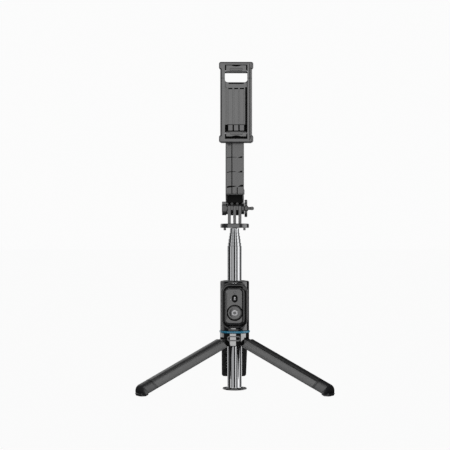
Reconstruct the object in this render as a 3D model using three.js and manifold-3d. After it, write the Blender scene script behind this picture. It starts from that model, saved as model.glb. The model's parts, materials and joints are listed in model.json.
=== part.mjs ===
// Selfie stick with a folding three-leg stand, in millimetres, +Z up and -Y towards the front.
// The origin is on the pole's axis, on the surface that the stand rests on.

import * as THREE from 'three';
import { mergeVertices } from 'three/addons/utils/BufferGeometryUtils.js';
import Module from 'manifold-3d';

const wasm = await Module();
wasm.setup();

// ---------------------------------------------------------------- driving dimensions

const GAP = 0.3;                  // running gap between neighbouring pieces
const ROUND = 24;                 // sides of a large round piece
const SMALL = 8;                  // sides of a pin or screw

// Pole: outer tube and five sections. Each section fits in the one before it.
const TUBE_RADIUS = 7.25;
const TUBE_WALL = 0.25;
const RADIUS_STEP = 0.52;
const TUBE_BOTTOM = 2.1;
const TUBE_TOP = 143.6;
const SECTION_TOPS = [146.8, 150.5, 153.5, 156.5, 161.2];
const SECTION_BOTTOMS = [14, 21, 27.2, 33.4, 41.5];
const STOP_RING_HEIGHT = 3;
const STOP_RING_WALL = 0.9;

// Foot disc at the bottom of the outer tube.
const FOOT_DISC_RADIUS = 12.2;
const FOOT_DISC_TOP = 1.8;
const FOOT_DISC_BOTTOM = 0.5;
const FOOT_PAD_RADIUS = 10.3;
const FOOT_PAD_TOP = 0.8;

// Handle.
const HANDLE_RADIUS = 14.5;
const HANDLE_INNER = 12;
const HANDLE_BOTTOM = 59.5;
const HANDLE_TOP = 108.9;
const BORE_RADIUS = 7.7;
const PEG_GROOVE_RADIUS = 11.5;
const BUSH_BOTTOM = 103.6;
const BUSH_TOP = 106.2;
const CRADLE_WIDTH = 26.4;
const CRADLE_BOTTOM = 62;
const CRADLE_TOP = 106;
const CRADLE_FRONT = -14.4;
const SHELL_SCREW_X = 9.9;
const SHELL_SCREW_Z = 86;
const FRONT_WALL = -7.9;          // the front shell's inner face, behind the remote

// Small screws that close the handle and the clamp.
const SCREW_BOSS_RADIUS = 1.9;
const SCREW_HOLE_RADIUS = 1.1;
const SCREW_RECESS_RADIUS = 1.8;
const SCREW_SHANK_RADIUS = 0.8;
const SCREW_HEAD_RADIUS = 1.5;

// Leg hub and accent ring.
const HUB_BOTTOM = 44;
const HUB_TOP = 56.9;
const SPIGOT_TOP = 63.5;
const RING_RADIUS = 15.3;
const RING_BOTTOM = 57.1;
const RING_TOP = 59.2;
const EYELET_Z = 51.9;
const EYELET_X = -0.7;

// Legs: each a 120 degree slice of a tube, hinged in the hub.
const LEG_SPREAD = 65;            // degrees from folded to open
const LEG_PIN_RADIUS = 10.2;      // distance of the hinge pin from the pole's axis
const LEG_PIN_Z = 49.7;
const LEG_OUTER = 15.2;
const LEG_INNER = 13.4;
const LEG_HALF_ANGLE = 59.1;
const LEG_SHELL_START = 7.6;      // distances along the leg from its pin
const LEG_SHELL_END = 92;
const LEG_FOOT_END = 106.6;
const LEG_NECK_HALF_WIDTH = 4.6;
const KNUCKLE_RADIUS = 2.4;
const PIN_RADIUS = 0.8;
const PIN_HALF_LENGTH = 7.4;
const PIN_HOLE_RADIUS = 1.1;
const FOOT_BODY_INNER = 7;        // distances from the pole's axis while the leg is folded
const FOOT_PAD_INNER = 4.1;
const FOOT_PAD_HALF_WIDTH = 6.2;
const FOOT_PAD_START = 100.4;
const FOOT_PAD_END = 109.4;

// Remote in the handle's cradle.
const REMOTE_WIDTH = 19.8;
const REMOTE_HEIGHT = 37.4;
const REMOTE_Z = 84;
const REMOTE_CORNER = 4.2;
const REMOTE_FRONT = -17;
const REMOTE_SPLIT = -12.15;
const REMOTE_BACK = -9.3;
const REMOTE_WALL = 1.2;
const SHUTTER_Z = 77.6;
const SHUTTER_RADIUS = 6.5;
const MODE_Z = 91.7;
const MODE_WIDTH = 5.2;
const MODE_HEIGHT = 7.2;
const LED_Z = 97.9;

// Pan head and tilt hinge.
const PAN_RADIUS = 14.5;
const PAN_BOTTOM = 161.5;
const PAN_TOP = 165.9;
const PEG_X = 9.8;
const PEG_BOTTOM = 159.1;
const TILT_Z = 181;
const PRONG_RADIUS = 7.3;
const PRONGS = [[-6.8, -3.8], [-1.4, 1.4], [3.8, 6.8]];
const TONGUES = [[-3.5, -1.7], [1.7, 3.5]];
const TONGUE_RADIUS = 7;
const TILT_HOLE_RADIUS = 2.6;
const TILT_SHAFT_RADIUS = 2.3;
const NUT_RADIUS = 6.9;
const WING_RADIUS = 8.7;

// Clamp arm.
const ARM_HALF_WIDTH = 9.1;
const ARM_FRONT = -21.8;
const ARM_BACK = -16.2;
const ARM_GROOVE_DEPTH = 1.2;
const ARM_GROOVE_XS = [-2.8, 2.9];
const ARM_GROOVE_WIDTH = 0.8;
const ARCH_HEIGHTS = [202.5, 217, 231.4];
const ARCH_RADIUS = 22.9;
const ARCH_GROOVE = 0.8;

// Phone clamp. Heights inside the clamp are measured from the swivel.
const SWIVEL_Z = 284.3;
const SWIVEL_SHAFT_RADIUS = 1.8;
const SWIVEL_HEAD_RADIUS = 3.9;
const SWIVEL_HOLE_RADIUS = 2.2;
const SWIVEL_WASHER_RADIUS = 7;
const CLAMP_X = 1.3;
const CLAMP_HALF_WIDTH = 15.6;
const CLAMP_HALF_HEIGHT = 39.6;
const BUMPER_HALF_WIDTH = 16.8;
const BUMPER_HEIGHT = 7.7;
const CLAMP_FRONT = -33.6;
const CLAMP_BACK = -23.7;
const COVER_FRONT = -25.6;
const COVER_TOP = 19.4;
const COVER_SCREW_Z = -33;
const COVER_BOSS_RADIUS = 5;
const BASE_BACK = -25.9;
const OPENING_HALF_WIDTH = 11;
const OPENING_TOP = 36.6;
const OPENING_BOTTOM = -35.8;
const SEAM_Z = 23.3;
const CHANNEL_OUTER = 13.9;
const CHANNEL_BOTTOM = -22;
const CHANNEL_FRONT = -32.2;
const PLATE_FRONT = -31.9;
const PLATE_BACK = -30.3;
const PLATE_TOP = 19.7;
const PLATE_BOTTOM = -21.8;
const PLATE_HALF_WIDTH = 9.05;
const PLATE_BAND_BOTTOM = 14.7;
const PLATE_RIB_XS = [-5.6, 0, 5.6];
const PLATE_RIB_HALF = 2.2;
const PLATE_RIB_TOP = 14;
const SHORT_SLOT_HEIGHTS = [12.8, 14.1];
const SHORT_SLOT_HALF = 2;
const LONG_SLOT_HEIGHTS = [17.9, 19.1];
const LONG_SLOT_HALF = 7.4;
const FLANGE_FRONT = -31.1;
const WEB_FRONT = -28.4;
const TAB_BOTTOM = -27.7;
const TAB_SPAN = 7.9;
const RAIL_LINE_X = 12.4;         // guide rod and spring
const RAIL_LINE_Y = -28;
const ROD_RADIUS = 0.5;
const SPRING_RADIUS = 1.05;
const SPRING_WIRE = 0.25;
const SPRING_TURNS = 8;
const SPRING_BOTTOM = -19.6;
const SPRING_TOP = 19.1;
const CLAW_PIVOT_Y = -31.2;
const UPPER_PIVOT_Z = 30.8;
const LOWER_PIVOT_Z = -30.1;
const CLAW_HALF_WIDTH = 10.3;
const CLAW_PIN_RADIUS = 0.7;
const CLAW_HOLE_RADIUS = 1;
const CLAW_BARREL = 2;

// ---------------------------------------------------------------- materials

function finish(color, roughness, metalness = 0) {
  return new THREE.MeshStandardMaterial({ color, roughness, metalness });
}

const satinGrey = finish(0x55565a, 0.45);
const blackPlastic = finish(0x26272a, 0.4);
const glossBlack = finish(0x0c0c0e, 0.12);
const chrome = finish(0xd5d7d9, 0.12, 1);
const steel = finish(0x9a9ca0, 0.35, 1);
const rubber = finish(0x3c3d40, 0.8);
const blueAccent = finish(0x3f7fa8, 0.35);
const boardGreen = finish(0x1f6b3a, 0.6);
const lensClear = finish(0x9fb0b8, 0.2);

// ---------------------------------------------------------------- solid helpers

// A closed geometry as a manifold solid, with its faces turned outwards.
function solidFrom(geometry) {
  const bare = geometry.clone();
  bare.deleteAttribute('normal');
  bare.deleteAttribute('uv');
  const merged = mergeVertices(bare, 1e-4);
  const points = merged.attributes.position.array;
  const triangles = [];
  let volume = 0;
  const a = new THREE.Vector3();
  const b = new THREE.Vector3();
  const c = new THREE.Vector3();
  for (let i = 0; i < merged.index.count; i += 3) {
    const corner = [0, 1, 2].map((k) => merged.index.getX(i + k));
    if (new Set(corner).size < 3) continue;
    triangles.push(corner);
    a.fromArray(points, corner[0] * 3);
    b.fromArray(points, corner[1] * 3);
    c.fromArray(points, corner[2] * 3);
    volume += a.dot(b.cross(c));
  }
  const outward = volume > 0 ? triangles : triangles.map(([p, q, r]) => [p, r, q]);
  return new wasm.Manifold(new wasm.Mesh({
    numProp: 3,
    vertProperties: Float32Array.from(points),
    triVerts: Uint32Array.from(outward.flat()),
  }));
}

function joined(...solids) {
  return solids.reduce((whole, piece) => whole.add(piece));
}

function cut(body, ...tools) {
  return tools.reduce((left, tool) => left.subtract(tool), body);
}

function box([x0, x1], [y0, y1], [z0, z1]) {
  const geometry = new THREE.BoxGeometry(x1 - x0, y1 - y0, z1 - z0);
  geometry.translate((x0 + x1) / 2, (y0 + y1) / 2, (z0 + z1) / 2);
  return solidFrom(geometry);
}

// Turns a shape's own x, y and depth onto the world axes: the depth runs along `axis`.
const AXIS_FRAMES = {
  x: new THREE.Matrix4().set(0, 0, 1, 0, 1, 0, 0, 0, 0, 1, 0, 0, 0, 0, 0, 1),
  y: new THREE.Matrix4().set(1, 0, 0, 0, 0, 0, -1, 0, 0, 1, 0, 0, 0, 0, 0, 1),
  z: new THREE.Matrix4(),
};

// A shape drawn in (y, z), (x, z) or (x, y), extruded along x, y or z between two places.
// `bevel` narrows both ends.
function prism(axis, shape, [from, to], curveSegments = 6, bevel = 0) {
  const geometry = new THREE.ExtrudeGeometry(shape, {
    depth: to - from - 2 * bevel,
    curveSegments,
    bevelEnabled: bevel > 0,
    bevelThickness: bevel,
    bevelSize: bevel,
    bevelOffset: -bevel,
    bevelSegments: 2,
  });
  const start = axis === 'y' ? -to : from;
  geometry.translate(0, 0, start + bevel);
  geometry.applyMatrix4(AXIS_FRAMES[axis]);
  return solidFrom(geometry);
}

// A round bar along an axis. `u` and `v` place it on the other two axes, in x, y, z order.
function rod(axis, [from, to], radius, u = 0, v = 0, sides = ROUND) {
  const geometry = new THREE.CylinderGeometry(radius, radius, to - from, sides);
  const middle = (from + to) / 2;
  if (axis === 'x') geometry.rotateZ(Math.PI / 2).translate(middle, u, v);
  if (axis === 'y') geometry.translate(u, middle, v);
  if (axis === 'z') geometry.rotateX(Math.PI / 2).translate(u, v, middle);
  return solidFrom(geometry);
}

function tube([from, to], outer, inner, sides = ROUND) {
  return lathe([[inner, from], [outer, from], [outer, to], [inner, to], [inner, from]], sides);
}

// A profile of [radius, z] points turned about the pole's axis.
function lathe(profile, sides = ROUND) {
  const points = profile.map(([radius, z]) => new THREE.Vector2(radius, z));
  const geometry = new THREE.LatheGeometry(points, sides);
  geometry.rotateX(Math.PI / 2);
  return solidFrom(geometry);
}

function polygon(points) {
  return new THREE.Shape(points.map(([x, y]) => new THREE.Vector2(x, y)));
}

function roundedRectangle(width, height, radius, cx = 0, cy = 0) {
  const right = cx + width / 2 - radius;
  const left = cx - width / 2 + radius;
  const top = cy + height / 2 - radius;
  const bottom = cy - height / 2 + radius;
  const shape = new THREE.Shape();
  shape.absarc(right, bottom, radius, -Math.PI / 2, 0);
  shape.absarc(right, top, radius, 0, Math.PI / 2);
  shape.absarc(left, top, radius, Math.PI / 2, Math.PI);
  shape.absarc(left, bottom, radius, Math.PI, 1.5 * Math.PI);
  shape.closePath();
  return shape;
}

function meshOf(name, solid, material) {
  const result = solid.getMesh();
  const geometry = new THREE.BufferGeometry();
  geometry.setAttribute('position', new THREE.BufferAttribute(result.vertProperties, 3));
  geometry.setIndex(new THREE.BufferAttribute(result.triVerts, 1));
  geometry.computeVertexNormals();
  const mesh = new THREE.Mesh(geometry, material);
  mesh.name = name;
  return mesh;
}

const stick = new THREE.Group();

// ---------------------------------------------------------------- pole

function sectionRadius(number) {
  return TUBE_RADIUS - RADIUS_STEP * number - 0.01;
}

function addPole(parent) {
  const bore = TUBE_RADIUS - TUBE_WALL;
  parent.add(meshOf('outer_tube', tube([TUBE_BOTTOM, TUBE_TOP], TUBE_RADIUS, bore), chrome));
  SECTION_TOPS.forEach((top, index) => {
    const number = index + 1;
    const radius = sectionRadius(number);
    const bottom = SECTION_BOTTOMS[index];
    const section = tube([bottom, top], radius, radius - TUBE_WALL);
    parent.add(meshOf(`pole_section_${number}`, section, chrome));
    const ringTop = bottom - GAP;
    const ring = tube([ringTop - STOP_RING_HEIGHT, ringTop], radius, radius - STOP_RING_WALL);
    parent.add(meshOf(`stop_ring_${number}`, ring, rubber));
  });
}

function addFootDisc(parent) {
  const spigot = TUBE_RADIUS - TUBE_WALL - GAP;
  const recess = FOOT_PAD_TOP + GAP;
  const disc = lathe([
    [0, recess],
    [FOOT_PAD_RADIUS + GAP, recess],
    [FOOT_PAD_RADIUS + GAP, FOOT_DISC_BOTTOM],
    [FOOT_DISC_RADIUS - 0.3, FOOT_DISC_BOTTOM],
    [FOOT_DISC_RADIUS, FOOT_DISC_BOTTOM + 0.3],
    [FOOT_DISC_RADIUS, FOOT_DISC_TOP - 0.3],
    [FOOT_DISC_RADIUS - 0.3, FOOT_DISC_TOP],
    [spigot, FOOT_DISC_TOP],
    [spigot, 6.5],
    [spigot - 1.5, 6.5],
    [spigot - 1.5, 3],
    [0, 3],
  ]);
  parent.add(meshOf('foot_disc', disc, blackPlastic));
  parent.add(meshOf('foot_disc_pad', rod('z', [0, FOOT_PAD_TOP], FOOT_PAD_RADIUS), rubber));
}

// ---------------------------------------------------------------- handle and remote

const FRONT_HALF = () => box([-40, 40], [-40, -GAP / 2], [0, 200]);
const REAR_HALF = () => box([-40, 40], [GAP / 2, 40], [0, 200]);

function remoteOutline(inset) {
  return roundedRectangle(
    REMOTE_WIDTH - 2 * inset, REMOTE_HEIGHT - 2 * inset, REMOTE_CORNER - inset, 0, REMOTE_Z,
  );
}

function handleBody() {
  const edge = 1.6;
  return lathe([
    [0, HANDLE_BOTTOM],
    [HANDLE_RADIUS, HANDLE_BOTTOM],
    [HANDLE_RADIUS, HANDLE_TOP - edge],
    [HANDLE_RADIUS - 0.35 * edge, HANDLE_TOP - 0.35 * edge],
    [HANDLE_RADIUS - edge, HANDLE_TOP],
    [0, HANDLE_TOP],
  ]);
}

// The space inside both shells: spigot room below, bush room above, and the top opening.
function handleVoid(frontWallY) {
  const lower = rod('z', [HANDLE_BOTTOM - 1, SPIGOT_TOP + 0.5], HANDLE_INNER);
  const middle = rod('z', [SPIGOT_TOP, BUSH_BOTTOM], HANDLE_INNER)
    .intersect(box([-20, 20], [frontWallY, 20], [0, 200]));
  const upper = rod('z', [BUSH_BOTTOM - GAP, BUSH_TOP + GAP], HANDLE_INNER);
  const mouth = rod('z', [BUSH_TOP, HANDLE_TOP + 1], PEG_GROOVE_RADIUS);
  return joined(lower, middle, upper, mouth);
}

function screwBosses(from, to) {
  return joined(...[-1, 1].map((side) => (
    rod('y', [from, to], SCREW_BOSS_RADIUS, side * SHELL_SCREW_X, SHELL_SCREW_Z, SMALL)
  )));
}

function screwHoles(radius, from, to) {
  return joined(...[-1, 1].map((side) => (
    rod('y', [from, to], radius, side * SHELL_SCREW_X, SHELL_SCREW_Z, SMALL)
  )));
}

function addHandle(parent) {
  const pocketFloor = REMOTE_BACK + GAP;
  const cradle = prism('y', roundedRectangle(
    CRADLE_WIDTH, CRADLE_TOP - CRADLE_BOTTOM, 8, 0, (CRADLE_TOP + CRADLE_BOTTOM) / 2,
  ), [CRADLE_FRONT, -4], 5, 0.9);
  const pocket = prism('y', remoteOutline(-GAP), [-20, pocketFloor], 4);
  const frontOuter = joined(handleBody(), cradle).intersect(FRONT_HALF());
  const front = cut(
    joined(cut(frontOuter, handleVoid(FRONT_WALL)), screwBosses(FRONT_WALL, -GAP / 2)),
    pocket,
    screwHoles(SCREW_HOLE_RADIUS, -6.5, 1),
  );
  parent.add(meshOf('handle_front_shell', front, blackPlastic));

  const rearShape = cut(handleBody().intersect(REAR_HALF()), handleVoid(-HANDLE_RADIUS));
  const rear = cut(
    joined(rearShape, screwBosses(GAP / 2, 8)),
    screwHoles(SCREW_HOLE_RADIUS, -1, 20),
    screwHoles(SCREW_RECESS_RADIUS, 7.4, 20),
  );
  parent.add(meshOf('handle_rear_shell', rear, blackPlastic));

  [['left', -1], ['right', 1]].forEach(([sideName, side]) => {
    const x = side * SHELL_SCREW_X;
    const screw = joined(
      rod('y', [-6, 8], SCREW_SHANK_RADIUS, x, SHELL_SCREW_Z, SMALL),
      rod('y', [7.7, 9.2], SCREW_HEAD_RADIUS, x, SHELL_SCREW_Z, SMALL),
    );
    parent.add(meshOf(`handle_screw_${sideName}`, screw, steel));
  });

  const bush = tube([BUSH_BOTTOM, BUSH_TOP], HANDLE_INNER - GAP, BORE_RADIUS);
  parent.add(meshOf('handle_top_bush', bush, blackPlastic));
}

function addRemote(parent) {
  const inner = remoteOutline(REMOTE_WALL);
  const bevel = 1.6;
  const frontBlock = prism('y', remoteOutline(0), [REMOTE_FRONT, REMOTE_SPLIT + 4], 4, bevel)
    .intersect(box([-20, 20], [-20, REMOTE_SPLIT], [0, 200]));
  const roomFront = REMOTE_FRONT + REMOTE_WALL;
  const frontShell = cut(
    frontBlock,
    prism('y', inner, [roomFront, 0], 3),
    rod('y', [-20, 0], SHUTTER_RADIUS + GAP, 0, SHUTTER_Z, 20),
    rod('y', [-20, REMOTE_FRONT + 0.5], SHUTTER_RADIUS + 1.6, 0, SHUTTER_Z, 20),
    prism('y', modeOutline(GAP), [-20, 0], 3),
    rod('y', [-20, 0], 1.3, 0, LED_Z, SMALL),
  );
  parent.add(meshOf('remote_front_shell', frontShell, satinGrey));

  const backShell = cut(
    prism('y', remoteOutline(0), [REMOTE_SPLIT + GAP, REMOTE_BACK], 4),
    prism('y', inner, [-20, REMOTE_BACK - 0.8], 3),
  );
  parent.add(meshOf('remote_back_shell', backShell, blackPlastic));

  const cell = rod('y', [-12.4, -10.4], 8, 0, 77.5, 24);
  parent.add(meshOf('remote_coin_cell', cell, steel));
  const board = joined(
    prism('y', roundedRectangle(16.6, 34.2, 2.4, 0, REMOTE_Z), [-13.5, -12.7], 3),
    rod('y', [-14.1, -13.4], 1.6, 0, MODE_Z, SMALL),
  );
  parent.add(meshOf('remote_circuit_board', board, boardGreen));
  const lens = rod('y', [REMOTE_FRONT - 0.05, roomFront - 0.1], 1, 0, LED_Z, SMALL);
  parent.add(meshOf('remote_led_lens', lens, lensClear));

  const dome = joined(
    rod('y', [-13.95, -13.75], 2.5, 0, SHUTTER_Z, SMALL),
    rod('y', [-14.1, -13.9], 1.9, 0, SHUTTER_Z, SMALL),
  );
  parent.add(meshOf('shutter_dome_switch', dome, steel));

  const flange = [roomFront + GAP, -14.7];
  const shutter = joined(
    rod('y', [REMOTE_FRONT - 0.35, flange[1]], SHUTTER_RADIUS, 0, SHUTTER_Z, 20),
    rod('y', flange, SHUTTER_RADIUS + 0.7, 0, SHUTTER_Z, 20),
  );
  parent.add(meshOf('shutter_button', shutter, satinGrey));
  const mode = joined(
    prism('y', modeOutline(0), [REMOTE_FRONT - 0.3, flange[1]], 3),
    prism('y', modeOutline(0.7), flange, 3),
  );
  parent.add(meshOf('mode_button', mode, blackPlastic));
}

function modeOutline(grow) {
  const width = MODE_WIDTH + 2 * grow;
  return roundedRectangle(width, MODE_HEIGHT + 2 * grow, width / 2 - 0.05, 0, MODE_Z);
}

// ---------------------------------------------------------------- hub and legs

// The legs point to the front left, the front right and the back. Each value turns a leg
// from straight ahead (-Y) to its own place, in degrees.
const LEG_HEADINGS = { left: -60, right: 60, back: 180 };

function turned(solid, degrees) {
  return solid.rotate([0, 0, degrees]);
}

function addHub(parent) {
  const chamfer = 0.8;
  const body = lathe([
    [BORE_RADIUS, HUB_BOTTOM],
    [HANDLE_RADIUS - chamfer, HUB_BOTTOM],
    [HANDLE_RADIUS, HUB_BOTTOM + chamfer],
    [HANDLE_RADIUS, HUB_TOP],
    [HANDLE_INNER - GAP, HUB_TOP],
    [HANDLE_INNER - GAP, SPIGOT_TOP],
    [BORE_RADIUS, SPIGOT_TOP],
    [BORE_RADIUS, HUB_BOTTOM],
  ]);
  const slotHalf = LEG_NECK_HALF_WIDTH + GAP + 0.1;
  const slotTop = LEG_PIN_Z + KNUCKLE_RADIUS + 0.6;
  const slot = box([-slotHalf, slotHalf], [-20, -5], [HUB_BOTTOM - 1, slotTop]);
  const reach = PIN_HALF_LENGTH + GAP;
  const hole = rod('x', [-reach, reach], PIN_HOLE_RADIUS, -LEG_PIN_RADIUS, LEG_PIN_Z, SMALL);
  const legRoom = Object.values(LEG_HEADINGS).flatMap((heading) => (
    [turned(slot, heading), turned(hole, heading)]
  ));
  const eyelet = (width, height) => (
    roundedRectangle(width, height, height / 2 - 0.05, EYELET_X, EYELET_Z)
  );
  const rim = cut(
    prism('y', eyelet(14, 5.2), [-16, -12.6], 3),
    prism('y', eyelet(11.6, 2.8), [-17, -11], 3),
  ).intersect(rod('z', [HUB_BOTTOM, HUB_TOP], HANDLE_RADIUS + 0.4));
  const eyeletPocket = prism('y', eyelet(11.6, 2.8), [-17, -12.4], 3);
  const hub = cut(joined(cut(body, eyeletPocket), rim), ...legRoom);
  parent.add(meshOf('leg_hub', hub, glossBlack));
  const ring = lathe([
    [HANDLE_INNER, RING_BOTTOM],
    [RING_RADIUS - 0.4, RING_BOTTOM],
    [RING_RADIUS, RING_BOTTOM + 0.5],
    [RING_RADIUS, RING_TOP - 0.5],
    [RING_RADIUS - 0.4, RING_TOP],
    [HANDLE_INNER, RING_TOP],
    [HANDLE_INNER, RING_BOTTOM],
  ]);
  parent.add(meshOf('accent_ring', ring, blueAccent));
}

// A slice of a tube around the pole's axis, which lies behind the leg's pin.
function legSlice(outer, inner, [from, to]) {
  const half = THREE.MathUtils.degToRad(LEG_HALF_ANGLE);
  const shape = new THREE.Shape();
  shape.absarc(0, 0, outer, -Math.PI / 2 - half, -Math.PI / 2 + half);
  shape.absarc(0, 0, inner, -Math.PI / 2 + half, -Math.PI / 2 - half, true);
  shape.closePath();
  const slice = prism('z', shape, [-to, -from], 10);
  return slice.translate([0, LEG_PIN_RADIUS, 0]);
}

// Everything below the surface that the stand rests on, moved into the folded leg's frame.
function belowFloor() {
  const geometry = new THREE.BoxGeometry(80, 200, 80);
  geometry.translate(0, -60 + LEG_PIN_RADIUS, -40 - LEG_PIN_Z);
  geometry.rotateX(THREE.MathUtils.degToRad(LEG_SPREAD));
  return solidFrom(geometry);
}

function legShell() {
  const slice = legSlice(LEG_OUTER, LEG_INNER, [LEG_SHELL_START, LEG_SHELL_END]);
  const half = LEG_NECK_HALF_WIDTH;
  const neck = box([-half, half], [-3.6, 2], [-13.2, 0]);
  const knuckle = rod('x', [-half, half], KNUCKLE_RADIUS, 0, 0, 16);
  const pinHole = rod('x', [-9, 9], PIN_HOLE_RADIUS, 0, 0, SMALL);
  const topTrim = box([-9, 9], [-9, -2.8], [-LEG_SHELL_START - 0.001, 9]);
  return cut(joined(slice, cut(neck, topTrim), knuckle), pinHole);
}

// The rubber foot: a cap whose end is rounded, on a narrower pad that meets the floor.
function legFoot() {
  const from = LEG_SHELL_END + GAP;
  const end = LEG_FOOT_END;
  const dome = lathe([
    [0, -from],
    [LEG_OUTER, -from],
    [LEG_OUTER, -end + 6],
    [LEG_OUTER - 0.4, -end + 3.6],
    [LEG_OUTER - 1.5, -end + 1.6],
    [LEG_OUTER - 3.4, -end],
    [0, -end],
  ]).translate([0, LEG_PIN_RADIUS, 0]);
  const halfWidth = LEG_OUTER * Math.sin(THREE.MathUtils.degToRad(LEG_HALF_ANGLE));
  const plan = prism('y', roundedRectangle(2 * halfWidth, 60, 3, 0, 30 - end), [-20, 20], 4);
  const cap = legSlice(LEG_OUTER, 0.01, [from, end + 1])
    .intersect(box([-20, 20], [-20, LEG_PIN_RADIUS - FOOT_BODY_INNER], [-200, 0]))
    .intersect(dome)
    .intersect(plan);
  const padOutline = roundedRectangle(
    2 * FOOT_PAD_HALF_WIDTH, FOOT_PAD_END - FOOT_PAD_START, 2.5, 0, -(FOOT_PAD_END + FOOT_PAD_START) / 2,
  );
  const padFrom = LEG_PIN_RADIUS - FOOT_BODY_INNER - 1.5;
  const pad = prism('y', padOutline, [padFrom, LEG_PIN_RADIUS - FOOT_PAD_INNER], 3);
  return cut(joined(cap, pad), belowFloor());
}

function addLegs(parent) {
  Object.entries(LEG_HEADINGS).forEach(([name, heading]) => {
    const station = new THREE.Group();
    station.rotation.z = THREE.MathUtils.degToRad(heading);
    const ends = [-PIN_HALF_LENGTH, PIN_HALF_LENGTH];
    const pin = rod('x', ends, PIN_RADIUS, -LEG_PIN_RADIUS, LEG_PIN_Z, SMALL);
    station.add(meshOf(`leg_pin_${name}`, pin, steel));
    const leg = new THREE.Group();
    leg.position.set(0, -LEG_PIN_RADIUS, LEG_PIN_Z);
    leg.rotation.x = -THREE.MathUtils.degToRad(LEG_SPREAD);
    leg.add(meshOf(`leg_${name}`, legShell(), satinGrey));
    leg.add(meshOf(`leg_foot_${name}`, legFoot(), rubber));
    station.add(leg);
    parent.add(station);
  });
}

// ---------------------------------------------------------------- pan head and tilt hinge

function addPanHead(parent) {
  const edge = 0.7;
  const disc = lathe([
    [0, PAN_BOTTOM + 2],
    [3.2, PAN_BOTTOM + 2],
    [3.2, PAN_BOTTOM],
    [PAN_RADIUS - edge, PAN_BOTTOM],
    [PAN_RADIUS, PAN_BOTTOM + edge],
    [PAN_RADIUS, PAN_TOP - edge],
    [PAN_RADIUS - edge, PAN_TOP],
    [0, PAN_TOP],
  ]);
  const pegs = [-1, 1].map((side) => (
    rod('z', [PEG_BOTTOM, PAN_BOTTOM + 0.5], 1.2, side * PEG_X, 0, SMALL)
  ));
  const prongs = PRONGS.map(([from, to]) => joined(
    box([from, to], [-PRONG_RADIUS, PRONG_RADIUS], [PAN_TOP - 0.5, TILT_Z]),
    rod('x', [from, to], PRONG_RADIUS, 0, TILT_Z, 20),
  ));
  const hole = rod('x', [-8, 8], TILT_HOLE_RADIUS, 0, TILT_Z, 12);
  parent.add(meshOf('pan_head', cut(joined(disc, ...pegs, ...prongs), hole), satinGrey));

  const plugRadius = sectionRadius(5) - TUBE_WALL - GAP;
  const plug = joined(
    rod('z', [142, PAN_BOTTOM - GAP], plugRadius, 0, 0, 24),
    rod('z', [PAN_BOTTOM - 1, PAN_BOTTOM + 1.6], 2.8, 0, 0, 24),
  );
  parent.add(meshOf('pole_top_plug', plug, blackPlastic));
}

function addTiltHinge(parent) {
  const nutFrom = -12.7;
  const nutTo = PRONGS[0][0] - GAP;
  const nut = cut(
    joined(
      rod('x', [nutFrom, nutTo - 1.5], NUT_RADIUS, 0, TILT_Z, 6),
      rod('x', [nutTo - 2, nutTo], 6, 0, TILT_Z, 20),
    ).intersect(rod('x', [nutFrom, nutTo], NUT_RADIUS - 0.35, 0, TILT_Z, 24)),
    rod('x', [nutFrom + 2, 0], TILT_HOLE_RADIUS, 0, TILT_Z, 16),
  );
  parent.add(meshOf('tilt_nut_knob', nut, blackPlastic));

  const washerFrom = PRONGS[2][1] + GAP;
  const washerTo = 9.6;
  const washer = cut(
    rod('x', [washerFrom, washerTo], 6, 0, TILT_Z, 24),
    rod('x', [washerFrom - 1, washerTo + 1], TILT_HOLE_RADIUS, 0, TILT_Z, 16),
  );
  parent.add(meshOf('tilt_washer', washer, blackPlastic));

  const headFrom = washerTo + GAP;
  const headTo = 12.6;
  const flutes = [];
  for (let index = 0; index < 8; index += 1) {
    const angle = ((index + 0.5) * Math.PI) / 4;
    const y = 9.6 * Math.cos(angle);
    const z = TILT_Z + 9.6 * Math.sin(angle);
    flutes.push(rod('x', [headFrom - 1, headTo + 1], 1.9, y, z, 10));
  }
  const eye = cut(
    joined(
      rod('x', [16.2, 17.6], 1.75, 0, TILT_Z, 16),
      rod('y', [-1.75, 1.75], 1.75, 17.6, TILT_Z, 16),
    ),
    rod('y', [-3, 3], 0.7, 17.6, TILT_Z, SMALL),
  );
  const screw = joined(
    rod('x', [-10.2, headFrom + 0.5], TILT_SHAFT_RADIUS, 0, TILT_Z, 16),
    cut(rod('x', [headFrom, headTo], WING_RADIUS, 0, TILT_Z), ...flutes),
    rod('x', [headTo - 0.5, 16.6], 1.5, 0, TILT_Z, 16),
    eye,
  );
  parent.add(meshOf('tilt_screw', screw, blackPlastic));
}

// ---------------------------------------------------------------- clamp arm

function armProfile() {
  const shape = new THREE.Shape();
  const foot = 110 * (Math.PI / 180);
  const heel = 140 * (Math.PI / 180);
  const reach = PRONG_RADIUS + 1.1;
  shape.moveTo(ARM_FRONT, TILT_Z + 21);
  shape.quadraticCurveTo(-21, TILT_Z + 7, -10.2, TILT_Z + 5.6);
  shape.lineTo(reach * Math.cos(heel), TILT_Z + reach * Math.sin(heel));
  shape.absarc(0, TILT_Z, reach, heel, foot, true);
  shape.lineTo(12.9 * Math.cos(foot), TILT_Z + 12.9 * Math.sin(foot));
  shape.quadraticCurveTo(-14, TILT_Z + 13.5, ARM_BACK, TILT_Z + 25);
  shape.lineTo(ARM_BACK, SWIVEL_Z + ARM_HALF_WIDTH);
  shape.lineTo(ARM_FRONT, SWIVEL_Z + ARM_HALF_WIDTH);
  shape.closePath();
  return shape;
}

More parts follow.
